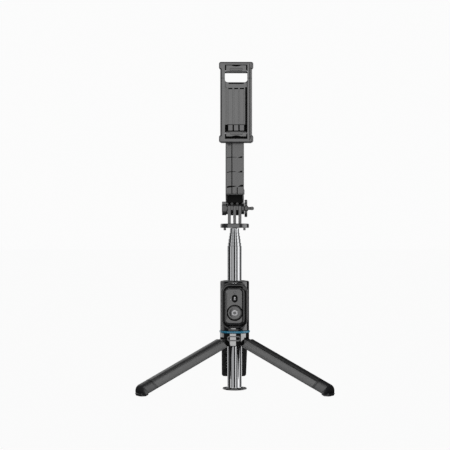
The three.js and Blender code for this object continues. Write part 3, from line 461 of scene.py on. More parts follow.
def prism(axis, outline, span, edge=0.0, far_edge=0.0, steps=4):
    """An outline drawn on the other two axes, extruded. `edge` rounds its low end, `far_edge` its far one."""
    outline = tidy_outline(outline)
    low, high = span
    layers = []
    for step in range(steps + 1 if edge else 1):
        angle = math.pi / 2 * step / steps
        layers.append((edge * (1 - math.sin(angle)), low + edge * (1 - math.cos(angle))))
    for step in range(steps + 1 if far_edge else 1):
        angle = math.pi / 2 * (1 - step / steps)
        layers.append((far_edge * (1 - math.sin(angle)), high - far_edge * (1 - math.cos(angle))))
    place = PLACES[axis]
    count = len(outline)
    points = []
    for inward, depth in layers:
        ring = inset(outline, inward) if inward > AXIS_TOUCH else outline
        points += [place(u, v, depth) for u, v in ring]
    faces = [list(range(count))[::-1], [count * (len(layers) - 1) + i for i in range(count)]]
    for layer in range(len(layers) - 1):
        for i in range(count):
            j = (i + 1) % count
            base = layer * count
            faces.append([base + i, base + j, base + count + j, base + count + i])
    return mesh_from(points, faces)


def lathe(profile, axis="z", u=0.0, v=0.0, sides=96):
    """A closed profile of (radius, distance along the axis) points, turned."""
    place = PLACES[axis]
    count = len(profile)
    points = []
    for side in range(sides):
        angle = 2 * math.pi * side / sides
        points += [place(u + r * math.cos(angle), v + r * math.sin(angle), along) for r, along in profile]
    faces = []
    for side in range(sides):
        base, following = side * count, ((side + 1) % sides) * count
        for i in range(count):
            j = (i + 1) % count
            on_axis = [profile[i][0] < AXIS_TOUCH, profile[j][0] < AXIS_TOUCH]
            if all(on_axis):
                continue
            if on_axis[0]:
                faces.append([base + i, following + j, base + j])
            elif on_axis[1]:
                faces.append([base + i, following + i, base + j])
            else:
                faces.append([base + i, following + i, following + j, base + j])
    return mesh_from(points, faces)


def rod(axis, span, radius, u=0.0, v=0.0, edge=0.0, sides=64):
    """A round bar along an axis, with both ends rounded by `edge`."""
    low, high = span
    if not edge:
        return lathe([(0, low), (radius, low), (radius, high), (0, high)], axis, u, v, sides)
    profile = [(0, low)] + arc(radius - edge, low + edge, edge, -90, 0, 4)
    profile += arc(radius - edge, high - edge, edge, 0, 90, 4) + [(0, high)]
    return lathe(profile, axis, u, v, sides)


def box(xs, ys, zs):
    return prism("z", [(xs[0], ys[0]), (xs[1], ys[0]), (xs[1], ys[1]), (xs[0], ys[1])], zs)


def span_of(side, inner, outer):
    """The span from inner to outer on the left (side -1) or the right (side 1)."""
    return (-outer, -inner) if side < 0 else (inner, outer)


def even_normals(holder):
    """Lets the large faces set the shading, so that flat faces stay flat beside their rounded edges."""
    modifier = holder.modifiers.new("normals", "WEIGHTED_NORMAL")
    modifier.weight = 100
    modifier.keep_sharp = True
    return []


def piece(name, mesh, body, look, nodes=(), bevel=0.0, place=None, shaded=None):
    """Finishes a solid: softened edges, shading, metres, material, body and the nodes it stands for.

    `shaded` tells from a face's middle and normal, in millimetres, whether it gets painted shade, the
    near-black matt finish put on faces where shade falls.
    """
    def prepare(holder):
        if bevel:
            modifier = holder.modifiers.new("bevel", "BEVEL")
            modifier.width = bevel
            modifier.segments = BEVEL_SEGMENTS
            modifier.limit_method = "ANGLE"
            modifier.angle_limit = SHARP_ANGLE
            modifier.miter_outer = "MITER_ARC"
        return []
    final = baked(mesh, prepare)
    material, group = finishes[look]
    final.materials.clear()
    final.materials.append(material)
    if shaded:
        final.materials.append(finishes["dark"][0])
        for face in final.polygons:
            face.material_index = 1 if shaded(face.center, face.normal) else 0
    if place is not None:
        final.transform(place)
    final.transform(Matrix.Scale(MM, 4))
    final.shade_smooth()
    final.set_sharp_from_angle(angle=SHARP_ANGLE)
    final = baked(final, even_normals)
    final.name = name
    made = new_object(name, final)
    lit[group].objects.link(made)
    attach(made, body)
    if nodes:
        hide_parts(*nodes)
    return made


BOTH = (-1, 1)
SIDES = (("left", -1), ("right", 1))
GAP = 0.3                        # running gap between neighbouring pieces
BOSS_RADIUS = 1.9
SCREW_HOLE = 1.1
SCREW_WELL = 1.8
SCREW_HEAD = 1.5
SCREW_SHANK = 0.8
CROSS_REACH = 0.95
CROSS_HALF = 0.2


def cross_screw(x, z, head, shank, cross_low, edge, head_sides=64, shank_sides=64):
    """A screw along y with a cross cut into its head, whose outer end is at the head span's far end."""
    cuts = [box((x - u, x + u), (cross_low, head[1] + 1), (z - v, z + v))
            for u, v in ((CROSS_REACH, CROSS_HALF), (CROSS_HALF, CROSS_REACH))]
    top = cut(rod("y", head, SCREW_HEAD, x, z, edge=edge, sides=head_sides), *cuts)
    return joined(top, rod("y", shank, SCREW_SHANK, x, z, sides=shank_sides))


# ---- pole and foot disc

TUBE_RADIUS = 7.25
RADIUS_STEP = 0.52
TUBE_SPAN = (2.1, 143.6)
CRIMP_Z = 138.9
LIP = 0.17                       # how far each end lip turns in past the wall
SECTIONS = [(14, 146.8), (21, 150.5), (27.2, 153.5), (33.4, 156.5), (41.5, 161.2)]
WALL = 0.25
FOOT_DISC_RADIUS = 12.2
FOOT_DISC_TOP = 1.8


def add_pole():
    r = TUBE_RADIUS
    low, high = TUBE_SPAN
    lip = r - WALL - LIP
    outer = [(r - WALL, low), (r - 0.05, low), (r, low + 0.1), (r, CRIMP_Z - 0.5), (r + 0.1, CRIMP_Z - 0.3),
             (r + 0.1, CRIMP_Z + 0.2), (r, CRIMP_Z + 0.4), (r, high - 0.5), (r - 0.1, high - 0.15),
             (r - 0.28, high), (lip, high - 0.12), (lip, high - 0.8), (r - WALL, high - 1.2)]
    piece("outer_tube_polished", lathe(outer, sides=128), "pole_tube", "chrome", ["outer_tube"])
    for number, (bottom, top) in enumerate(SECTIONS, 1):
        r = TUBE_RADIUS - RADIUS_STEP * number - 0.01
        groove, lip = r - 0.08, r - 0.4
        profile = [(r - WALL, bottom), (r, bottom), (r, top - 2.3), (groove, top - 2.15),
                   (groove, top - 1.85), (r, top - 1.7), (r, top - 0.4), (r - 0.1, top - 0.1),
                   (r - 0.25, top), (lip, top - 0.12), (lip, top - 0.7), (r - WALL, top - 1.0)]
        piece(f"pole_section_{number}_polished", lathe(profile, sides=112), f"pole_{number}", "chrome",
              [f"pole_section_{number}"])


def add_foot_disc():
    spigot = TUBE_RADIUS - WALL - GAP
    top = FOOT_DISC_TOP
    disc = lathe([(0, 1.1), (10.6, 1.1), (10.6, 0.5)] + arc(FOOT_DISC_RADIUS - 0.35, 0.85, 0.35, -90, 0, 4)
                 + arc(FOOT_DISC_RADIUS - 0.45, top - 0.45, 0.45, 0, 90, 4)
                 + [(9.6, top), (9.3, top - 0.25), (8.7, top - 0.25), (8.4, top), (spigot, top),
                    (spigot, 6.5), (spigot - 1.5, 6.5), (spigot - 1.5, 3), (0, 3)])
    piece("foot_disc_turned", disc, "pole_tube", "black", ["foot_disc"])
    pad = lathe([(0, 0), (4, 0), (4.2, 0.35), (5.2, 0.35), (5.4, 0), (7.6, 0), (7.8, 0.35), (8.8, 0.35),
                 (9, 0), (10, 0), (10.3, 0.3), (10.3, 0.8), (0, 0.8)])
    piece("foot_disc_pad_ribbed", pad, "pole_tube", "rubber", ["foot_disc_pad"])


# ---- handle

HANDLE_RADIUS = 14.5
HANDLE_INNER = 12.0
HANDLE_BOTTOM = 59.5
HANDLE_TOP = 108.9
BORE_RADIUS = 7.7
SPIGOT_TOP = 63.5
BUSH_SPAN = (103.6, 106.2)
MOUTH_RADIUS = 11.5
CRADLE = (26.4, 44.0)
CRADLE_Z = 84.0
CRADLE_FRONT = -14.4
CRADLE_CORNERS = (8, 10.5)       # its upper and lower corner radii
FRONT_WALL = -7.9                # the front shell's inner face, behind the remote
SPLIT = GAP / 2                  # each shell stops this far from the plane between them
GRIP_HEIGHTS = (70, 73, 76, 96, 99, 102)
RING_SPAN = (57.1, 59.2)
RING_RADIUS = 15.3
SHELL_SCREW_X = 9.9
SHELL_SCREW_Z = 86.0
REMOTE = (19.8, 37.4)
REMOTE_CORNER = 5.4
REMOTE_Z = 84.0
REMOTE_FRONT = -17.0
REMOTE_SPLIT = -12.15
REMOTE_BACK = -9.3
SHUTTER_Z = 77.6
SHUTTER_RADIUS = 6.5
MODE_Z = 91.7
MODE = (5.2, 7.2)
LED_Z = 97.9
LIP_REACH = 1.6                  # the step in the cradle around the remote
REMOTE_WALL = 1.2
DOT = (-4.1, 90.7)
GLYPH_Z = SHUTTER_Z - 0.2


def remote_outline(grow, steps=10):
    return rounded(REMOTE[0] + 2 * grow, REMOTE[1] + 2 * grow, REMOTE_CORNER + grow, 0, REMOTE_Z, steps)


def cradle_outline(grow):
    upper, lower = (radius + grow for radius in CRADLE_CORNERS)
    return rounded(CRADLE[0] + 2 * grow, CRADLE[1] + 2 * grow, upper, 0, CRADLE_Z, 12, lower)


def handle_body():
    r, bottom, top = HANDLE_RADIUS, HANDLE_BOTTOM, HANDLE_TOP
    return lathe([(0, bottom), (r - 0.25, bottom), (r, bottom + 0.25)]
                 + arc(r - 1.6, top - 1.6, 1.6, 0, 90, 6) + [(0, top)], sides=128)


def screw_rods(span, radius):
    """A rod at each of the two screws that hold the handle's shells together."""
    return [rod("y", span, radius, side * SHELL_SCREW_X, SHELL_SCREW_Z) for side in BOTH]


def add_handle():
    lower = rod("z", (HANDLE_BOTTOM - 1, SPIGOT_TOP + 0.5), HANDLE_INNER)
    upper = rod("z", (BUSH_SPAN[0] - GAP, BUSH_SPAN[1] + GAP), HANDLE_INNER)
    flare, top = MOUTH_RADIUS + 0.6, HANDLE_TOP
    mouth = lathe([(0, BUSH_SPAN[1]), (MOUTH_RADIUS, BUSH_SPAN[1]), (MOUTH_RADIUS, top - 0.5),
                   (flare, top + 0.1), (flare, top + 1), (0, top + 1)])
    bore = rod("z", (SPIGOT_TOP, BUSH_SPAN[0]), HANDLE_INNER)
    middle = kept(bore, box((-20, 20), (FRONT_WALL, 20), (0, 200)))
    moat = prism("y", cradle_outline(1.0), (-30, -10.4))
    cradle = prism("y", cradle_outline(0), (CRADLE_FRONT, -4), edge=1.5, steps=6)
    pocket = prism("y", remote_outline(GAP), (-20, REMOTE_BACK + GAP))
    lip_floor = CRADLE_FRONT + 1.0
    lip = prism("y", remote_outline(LIP_REACH), (-20, lip_floor))
    bosses = screw_rods((FRONT_WALL, -SPLIT), BOSS_RADIUS)
    holes = screw_rods((-6.5, 1), SCREW_HOLE)
    front_half = box((-40, 40), (-40, -SPLIT), (0, 200))
    front = joined(cut(handle_body(), moat), cradle)
    front = cut(kept(front, front_half), lower, middle, upper, mouth)
    front = cut(joined(front, *bosses), pocket, lip, *holes)
    # Painted shade: the step of the cradle round the remote is drawn near-black, as the shadow round the
    # remote.
    piece("handle_front", front, "handle", "handle", ["handle_front_shell"], bevel=0.12,
          shaded=lambda at, facing: abs(at.x) < REMOTE[0] / 2 + 1.7 and -20.4 < at.z - REMOTE_Z < 15
          and CRADLE_FRONT + 0.15 < at.y < lip_floor + 0.3)

    rear_bosses = screw_rods((SPLIT, 8), BOSS_RADIUS)
    rear_holes = screw_rods((-1, 20), SCREW_HOLE)
    rear_wells = screw_rods((7.4, 20), SCREW_WELL)
    rear_half = box((-40, 40), (SPLIT, 40), (0, 200))
    rear = cut(kept(handle_body(), rear_half), lower, upper, mouth, bore)
    root, tip = HANDLE_RADIUS - 0.35, HANDLE_RADIUS + 1
    grips = [lathe([(root, z - 0.45), (tip, z - 0.9), (tip, z + 0.9), (root, z + 0.45)])
             for z in GRIP_HEIGHTS]
    window = box((-8.6, 8.6), (2, 30), (60, 110))
    rear = cut(rear, *[kept(grip, window) for grip in grips])
    rear = cut(joined(rear, *rear_bosses), *rear_holes, *rear_wells)
    piece("handle_rear", rear, "handle", "handle", ["handle_rear_shell"], bevel=0.1)

    for name, side in SIDES:
        screw = cross_screw(side * SHELL_SCREW_X, SHELL_SCREW_Z, (7.7, 9.2), (-6, 8), 8.5, 0.25)
        piece(f"handle_screw_{name}_cross", screw, "handle", "steel", [f"handle_screw_{name}"])

    low, high = BUSH_SPAN
    outer = HANDLE_INNER - GAP
    bush = lathe([(BORE_RADIUS, low), (outer, low), (outer, high - 0.2), (outer - 0.2, high), (9.6, high),
                  (9.4, high - 0.4), (8.6, high - 0.4), (8.4, high), (BORE_RADIUS + 0.2, high),
                  (BORE_RADIUS, high - 0.2)])
    piece("handle_bush", bush, "handle", "black", ["handle_top_bush"])
    low, high = RING_SPAN
    edge = 0.55
    ring = lathe([(HANDLE_INNER, low)] + arc(RING_RADIUS - edge, low + edge, edge, -90, 0, 5)
                 + arc(RING_RADIUS - edge, high - edge, edge, 0, 90, 5) + [(HANDLE_INNER, high)], sides=128)
    piece("accent_ring_anodised", ring, "handle", "blue", ["accent_ring"])


# ---- remote

def mode_outline(grow):
    width = MODE[0] + 2 * grow
    return rounded(width, MODE[1] + 2 * grow, width / 2 - 0.02, 0, MODE_Z, 12)


def add_remote():
    block = kept(prism("y", remote_outline(0), (REMOTE_FRONT, REMOTE_SPLIT + 4), edge=2.9, steps=8),
                 box((-20, 20), (-20, REMOTE_SPLIT), (0, 200)))
    room = prism("y", remote_outline(-REMOTE_WALL), (REMOTE_FRONT + 3.1, 0))
    core = prism("y", remote_outline(-3.4), (REMOTE_FRONT + REMOTE_WALL, 0))
    r = SHUTTER_RADIUS
    front = cut(
        block, room, core,
        rod("y", (-20, 0), r + GAP, 0, SHUTTER_Z, sides=96),
        lathe([(r - 1, -20), (r + 1.9, -20), (r + 1.5, REMOTE_FRONT + 0.55), (r - 1, REMOTE_FRONT + 0.75)],
              "y", 0, SHUTTER_Z, 96),
        prism("y", mode_outline(GAP), (-20, 0)),
        rod("y", (-20, 0), 1.3, 0, LED_Z),
        rod("y", (-20, REMOTE_FRONT + 0.3), 0.35, *DOT, sides=24),
    )
    # Painted shade: the groove round the shutter and the faces inside the shell are drawn near-black.
    piece("remote_face", front, "remote", "keypad", ["remote_front_shell"], bevel=0.12,
          shaded=lambda at, facing: at.y > REMOTE_FRONT + 0.04 and math.hypot(at.x, at.z - SHUTTER_Z) < 8.6
          or at.y > REMOTE_SPLIT - REMOTE_WALL)
    mark = rod("y", (REMOTE_FRONT - 0.02, REMOTE_FRONT + 0.28), 0.33, *DOT, sides=24)
    piece("remote_dot", mark, "remote", "mark")

    back = cut(prism("y", remote_outline(0), (REMOTE_SPLIT + GAP, REMOTE_BACK), far_edge=0.7),
               prism("y", remote_outline(-REMOTE_WALL), (-20, REMOTE_BACK - 0.8)))
    slot = prism("y", rounded(6, 1.2, 0.58, 0, 71), (REMOTE_BACK - 0.4, 0))
    piece("remote_back", cut(back, slot), "remote", "black", ["remote_back_shell"], bevel=0.1)
    lens = rod("y", (REMOTE_FRONT - 0.05, REMOTE_FRONT + 1.1), 1.15, 0, LED_Z, edge=0.2, sides=40)
    piece("led_window", lens, "remote", "lens", ["remote_led_lens"])

    front_y = REMOTE_FRONT - 0.35
    flange = (REMOTE_FRONT + 1.5, -14.7)
    dish = lathe([(0, front_y - 3), (5.2, front_y - 3), (5.2, front_y), (4.6, front_y + 0.16),
                  (3, front_y + 0.26), (0, front_y + 0.3)], "y", 0, SHUTTER_Z, 96)
    cap = joined(cut(rod("y", (front_y, flange[1]), r, 0, SHUTTER_Z, edge=0.5, sides=96), dish),
                 rod("y", flange, r + 0.7, 0, SHUTTER_Z, sides=96))
    piece("shutter_cap", cap, "shutter_key", "keypad", ["shutter_button"])
    # A plain camera mark: a rounded outline with a bump.
    face = (front_y - 0.01, front_y + 0.5)
    low, high = SHUTTER_Z + 1.8, SHUTTER_Z + 2.8
    outline = joined(prism("y", rounded(5.6, 4.6, 1.7, 0, GLYPH_Z), face),
                     prism("y", [(-1.5, low), (1.5, low), (1.0, high), (-1.0, high)], face))
    glyph = cut(outline, prism("y", rounded(3.2, 2.6, 1.1, 0, GLYPH_Z), (-25, 0)))
    piece("camera_mark", glyph, "shutter_key", "mark")

    mode_front = REMOTE_FRONT - 0.3
    key = joined(prism("y", mode_outline(0), (mode_front, flange[1]), edge=0.5),
                 prism("y", mode_outline(0.7), flange))
    key = cut(key, prism("y", mode_outline(-1.15), (mode_front - 1, mode_front + 0.18)))
    piece("mode_cap", key, "mode_key", "dark", ["mode_button"])
    proud = (mode_front - 0.02, mode_front + 0.4)
    pip = joined(rod("y", proud, 0.95, 0, MODE_Z + 0.7, edge=0.2, sides=32),
                 prism("y", rounded(2.0, 0.7, 0.3, 0, MODE_Z - 1.1), proud))
    piece("mode_mark", pip, "mode_key", "mark")


# ---- hub and legs

HUB_BOTTOM = 44.0
HUB_TOP = 56.9
EYELET = (-0.7, 51.9)
EYELET_RIM = (14, 5.2)
EYELET_HOLE = (11.6, 2.8)
LEG_SPREAD = 65.0
LEG_PIN_RADIUS = 10.2
LEG_PIN_Z = 49.7
LEG_OUTER = 15.2
LEG_INNER = 13.4
LEG_HALF_ANGLE = 59.1
LEG_SHELL = (7.6, 92.0)
LEG_FOOT_END = 106.6
NECK = 4.6
KNUCKLE = 2.4
PIN_RADIUS = 0.8
PIN_HALF = 7.4
PIN_HOLE = 1.1
LEG_RIBS = (24, 44, 64, 84)      # distances along the leg from its pin
FOOT_EDGE = 4.2
HEADINGS = {"left": -60, "right": 60, "back": 180}


def turn(degrees):
    return Matrix.Rotation(math.radians(degrees), 4, "Z")


def add_hub():
    r, spigot = HANDLE_RADIUS, HANDLE_INNER - GAP
    body = lathe([(BORE_RADIUS, HUB_BOTTOM + 0.3), (BORE_RADIUS + 0.3, HUB_BOTTOM)]
                 + arc(r - 1, HUB_BOTTOM + 1, 1, -90, 0, 5)
                 + [(r, HUB_TOP - 0.2), (r - 0.2, HUB_TOP), (spigot, HUB_TOP), (spigot, SPIGOT_TOP),
                    (BORE_RADIUS, SPIGOT_TOP)], sides=128)
    half = NECK + 0.4
    slot = box((-half, half), (-20, -5), (HUB_BOTTOM - 1, LEG_PIN_Z + KNUCKLE + 0.6))
    reach = PIN_HALF + GAP
    hole = rod("x", (-reach, reach), PIN_HOLE, -LEG_PIN_RADIUS, LEG_PIN_Z)
    rooms = [moved(tool, turn(h)) for h in HEADINGS.values() for tool in (slot, hole)]

    def eyelet(width, height):
        return rounded(width, height, height / 2 - 0.02, EYELET[0], EYELET[1], 10)
    rim = cut(prism("y", eyelet(*EYELET_RIM), (-16, -12.6)), prism("y", eyelet(*EYELET_HOLE), (-17, -11)))
    rim = kept(rim, rod("z", (HUB_BOTTOM, HUB_TOP), HANDLE_RADIUS + 0.35, sides=128))
    skin = cut(rod("z", (HUB_BOTTOM, HUB_TOP), 16, sides=128), rod("z", (0, 100), 14.1, sides=128))
    hub = cut(body, kept(prism("y", eyelet(*EYELET_HOLE), (-17, -11)), skin))
    piece("hub_eyelet", rim, "handle", "satin", bevel=0.1)
    rim_seat = eyelet(*[side + 0.1 for side in EYELET_RIM])
    hub = cut(hub, prism("y", rim_seat, (-17, -HANDLE_RADIUS + 0.02)), *rooms)
    piece("hub_polished", hub, "handle", "gloss", ["leg_hub"], bevel=0.12)


def leg_slice(outer, inner, span, steps=40):
    half = LEG_HALF_ANGLE
    outline = arc(0, LEG_PIN_RADIUS, outer, -90 - half, -90 + half, steps)
    outline += arc(0, LEG_PIN_RADIUS, inner, -90 + half, -90 - half, steps)
    return prism("z", outline, (-span[1], -span[0]))


def leg_shell():
    shell = leg_slice(LEG_OUTER, LEG_INNER, LEG_SHELL)
    trim = box((-9, 9), (-9, -2.8), (-LEG_SHELL[0] - 0.001, 9))
    neck = cut(box((-NECK, NECK), (-3.6, 2), (-13.2, 0)), trim)
    knuckle = rod("x", (-NECK, NECK), KNUCKLE)
    ribs = [kept(leg_slice(LEG_INNER + 0.3, LEG_INNER - 1.3, (s, s + 1.2)),
                 box((-20, 20), (-20, LEG_PIN_RADIUS - 7.7), (-200, 0))) for s in LEG_RIBS]
    pin_hole = rod("x", (-9, 9), PIN_HOLE)
    return cut(joined(shell, neck, knuckle, *ribs), pin_hole)


def leg_foot():
    start = LEG_SHELL[1] + GAP
    end = LEG_FOOT_END
    groove = LEG_OUTER - 0.35
    dome = lathe([(0, -end)] + arc(LEG_OUTER - FOOT_EDGE, -end + FOOT_EDGE, FOOT_EDGE, -90, 0, 8)
                 + [(LEG_OUTER, -start - 1.9), (groove, -start - 1.6), (groove, -start - 1.1),
                    (LEG_OUTER, -start - 0.8), (LEG_OUTER, -start), (0, -start)], v=LEG_PIN_RADIUS, sides=128)
    half_width = LEG_OUTER * math.sin(math.radians(LEG_HALF_ANGLE))
    plan = prism("y", rounded(2 * half_width, 60, 3.2, 0, 30 - end), (-20, 20))
    cap = kept(leg_slice(LEG_OUTER, 0.01, (start, end + 1)),
               box((-20, 20), (-20, LEG_PIN_RADIUS - 7), (-200, 0)), dome, plan)
    pad = prism("y", rounded(12.4, 9, 2.5, 0, -104.9), (LEG_PIN_RADIUS - 8.5, LEG_PIN_RADIUS - 4.1))
    floor = moved(box((-40, 40), (-160, 40), (-80, 0)), Matrix.Translation((0, LEG_PIN_RADIUS, -LEG_PIN_Z)))
    floor = moved(floor, Matrix.Rotation(math.radians(LEG_SPREAD), 4, "X"))
    return cut(joined(cap, pad), floor)


def add_legs():
    shell = leg_shell()
    foot = leg_foot()
    for name, heading in HEADINGS.items():
        station = turn(heading)
        opened = station @ Matrix.Translation((0, -LEG_PIN_RADIUS, LEG_PIN_Z)) @ Matrix.Rotation(
            -math.radians(LEG_SPREAD), 4, "X")
        body = f"leg_{name}_body"
        piece(f"leg_{name}_shell", shell, body, "leg", [f"leg_{name}"], bevel=0.3, place=opened)
        piece(f"leg_{name}_foot", foot, body, "foot", [f"leg_foot_{name}"], bevel=0.25, place=opened)
        pin = rod("x", (-PIN_HALF, PIN_HALF), PIN_RADIUS, -LEG_PIN_RADIUS, LEG_PIN_Z, edge=0.2)
        piece(f"leg_{name}_axle", pin, "handle", "steel", [f"leg_pin_{name}"], place=station)


# ---- pan head and tilt hinge

PAN_RADIUS = 14.5
PAN_SPAN = (161.5, 165.9)
PEG_X = 9.8
PEG_BOTTOM = 159.1
PEG_RADIUS = 1.2
TILT_Z = 181.0
PRONG_RADIUS = 7.3
PRONGS = [(-6.8, -3.8), (-1.4, 1.4), (3.8, 6.8)]
TONGUES = [(-3.75, -1.45), (1.45, 3.75)]
TONGUE_RADIUS = 7.0
TILT_HOLE = 2.6
TILT_SHAFT = 2.3
HINGE_GAP = 0.06
NUT_LOW = -12.7
NUT_RADIUS = 7.3
NUT_ROUNDING = 0.16              # the share of each side that a rounded corner takes up
WASHER_HIGH = 9.6
WING_RADIUS = 8.7
FLUTE_CIRCLE = 9.6
RING_EYE_X = 17.6
RING_EYE_RADIUS = 1.75
WING_SPAN = (9.9, 12.6)


def tilt_rod(span, radius, edge=0.0, sides=64):
    return rod("x", span, radius, 0, TILT_Z, edge=edge, sides=sides)


def add_pan_head():
    low, high = PAN_SPAN
    disc = lathe([(0, low + 2), (3.2, low + 2), (3.2, low)] + arc(PAN_RADIUS - 0.5, low + 0.5, 0.5, -90, 0, 4)
                 + arc(PAN_RADIUS - 1.1, high - 1.1, 1.1, 0, 90, 6) + [(0, high)], sides=128)
    pegs = [rod("z", (PEG_BOTTOM, low + 0.5), PEG_RADIUS, side * PEG_X, 0, edge=0.3, sides=32)
            for side in BOTH]
    prongs = []
    for span in PRONGS:
        side_view = [(-PRONG_RADIUS, high - 0.5), (PRONG_RADIUS, high - 0.5)]
        side_view += arc(0, TILT_Z, PRONG_RADIUS, 0, 180, 40)
        prongs.append(prism("x", side_view, span, edge=0.35, far_edge=0.35))
    hole = tilt_rod((-8, 8), TILT_HOLE)
    head = cut(joined(disc, *pegs, *prongs), hole)
    # Painted shade: the upward faces on the prongs' tops, under the arm, are drawn near-black.
    piece("pan_head_moulded", head, "pan_body", "satin", ["pan_head"], bevel=0.2,
          shaded=lambda at, facing: at.z > TILT_Z + 4 and facing.z > 0.3)


def add_hinge():
    nut_low, nut_high = NUT_LOW, PRONGS[0][0] - HINGE_GAP
    turns = [math.radians(angle) for angle in range(30, 390, 60)]
    hexagon = [Vector((NUT_RADIUS * math.cos(turn), TILT_Z + NUT_RADIUS * math.sin(turn))) for turn in turns]
    corners = []
    for index, corner in enumerate(hexagon):
        start = corner.lerp(hexagon[index - 1], NUT_ROUNDING)
        stop = corner.lerp(hexagon[(index + 1) % 6], NUT_ROUNDING)
        corners += [tuple(start)] + curve(start, corner, stop, 5)
    nut = joined(prism("x", corners, (nut_low, nut_high - 1.5), edge=0.9),
                 tilt_rod((nut_low + 2, nut_high), 6, edge=0.3))
    nut = kept(nut, tilt_rod((nut_low - 1, nut_high + 1), 6.85, sides=96))
    nut = cut(nut, tilt_rod((nut_low + 2, 0), TILT_HOLE), tilt_rod((nut_low - 1, nut_low + 0.5), 3.6))
    piece("tilt_nut", nut, "pan_body", "black", ["tilt_nut_knob"], bevel=0.15)

    washer_span = (PRONGS[2][1] + HINGE_GAP, WASHER_HIGH)
    washer = cut(tilt_rod(washer_span, 6, edge=0.5), tilt_rod((0, 20), TILT_HOLE))
    piece("tilt_washer_turned", washer, "pan_body", "black", ["tilt_washer"])

    head_low, head_high = WING_SPAN
    flutes = []
    for index in range(8):
        angle = math.radians(45 * index + 22.5)
        flutes.append(rod("x", (head_low - 1, head_high + 1), 1.9, FLUTE_CIRCLE * math.cos(angle),
                          TILT_Z + FLUTE_CIRCLE * math.sin(angle), sides=32))
    wing = cut(tilt_rod((head_low, head_high), WING_RADIUS, edge=0.5, sides=128), *flutes)
    boss = tilt_rod((head_high - 0.5, head_high + 0.9), 2.6, edge=0.4)
    eye = joined(tilt_rod((RING_EYE_X - 1.4, RING_EYE_X), RING_EYE_RADIUS, sides=40),
                 rod("y", (-RING_EYE_RADIUS, RING_EYE_RADIUS), RING_EYE_RADIUS, RING_EYE_X, TILT_Z,
                     edge=0.3, sides=40))
    screw = joined(tilt_rod((-10.2, head_low + 0.5), TILT_SHAFT), wing, boss,
                   tilt_rod((head_high - 0.5, 16.6), 1.5), eye)
    screw = cut(screw, rod("y", (-3, -1), 0.8, RING_EYE_X, TILT_Z, sides=32))
    piece("tilt_thumbscrew", screw, "tilt_screw_body", "black", ["tilt_screw"], bevel=0.12)


# ---- clamp arm

ARM_HALF = 9.1
ARM_FRONT = -21.8
ARM_BACK = -16.2
ARM_REACH = 8.4
SWIVEL_Z = 284.3
EAR_X = ARM_HALF + 0.05
LEFT_LINE = (-3.3, -2.35)
HOLLOW_TOP = TILT_Z + 13.2
# Each arch across the arm: its height, and its line's thickness, rise and reach to the right.
ARCHES = [(202.9, 1.5, 1.9, 8.2), (217.0, 0.6, 1.5, 7.4), (231.3, 0.5, 1.5, 7.4)]


def arm_profile():
    def polar(radius, degrees):
        return (radius * math.cos(math.radians(degrees)), TILT_Z + radius * math.sin(math.radians(degrees)))
    knee = (ARM_FRONT, TILT_Z + 21)
    outline = [knee] + curve(knee, (-21, TILT_Z + 7), (-10.2, TILT_Z + 5.6), 16)
    outline += arc(0, TILT_Z, ARM_REACH, 140, 110, 6)
    heel = polar(12.9, 110)
    outline += [heel] + curve(heel, (-14, TILT_Z + 13.5), (ARM_BACK, TILT_Z + 25), 14)
    return outline + [(ARM_BACK, SWIVEL_Z + ARM_HALF), (ARM_FRONT, SWIVEL_Z + ARM_HALF)]


def arch_line(z, thick):
    """A shallow bow across the left of the arm's face, which thins out to the right."""
    low = [(-7.7, z - 0.6 - thick), (-5.2, z - 0.1 - thick), (-2.6, z + 0.1 - thick), (1.8, z - 0.3)]
    high = [(1.8, z), (-2.6, z + 0.25), (-5.2, z + 0.1), (-7.7, z - 0.5)]
    return prism("y", low + high, (ARM_FRONT - 1, ARM_FRONT + 1.1))


def arch_wedge(z, rise, reach):
    """A deep notch at the right of the arm's face, with a flat floor and a rising roof."""
    roof = [(reach, z + rise - 0.7), (6.2, z + rise - 0.75), (4.8, z + 0.55 * rise - 0.7), (3.2, z - 0.6)]
    return prism("y", [(3.2, z - 0.85), (reach, z - 0.85)] + roof, (ARM_FRONT - 1, ARM_FRONT + 2.2))


def in_painted_shade(at):
    """True where the arm gets painted shade: inside the front face's grooves, in the hollow above the hinge
    and at the tongues' lower ends.
    """
    in_line = -3.3 < at.x < -2.3 or 1.9 < at.x < 3.0
    high_enough = at.z > TILT_Z + 20.4 or in_line and at.z > TILT_Z + 13.6
    groove = ARM_FRONT + 0.15 < at.y < ARM_FRONT + 2.3 and high_enough
    hollow = at.y > -12.3 and TILT_Z + 4.2 < at.z < HOLLOW_TOP + 0.3
    tongue_end = abs(at.x) < 3.6 and at.z < TILT_Z - 1.8
    return groove or hollow or tongue_end


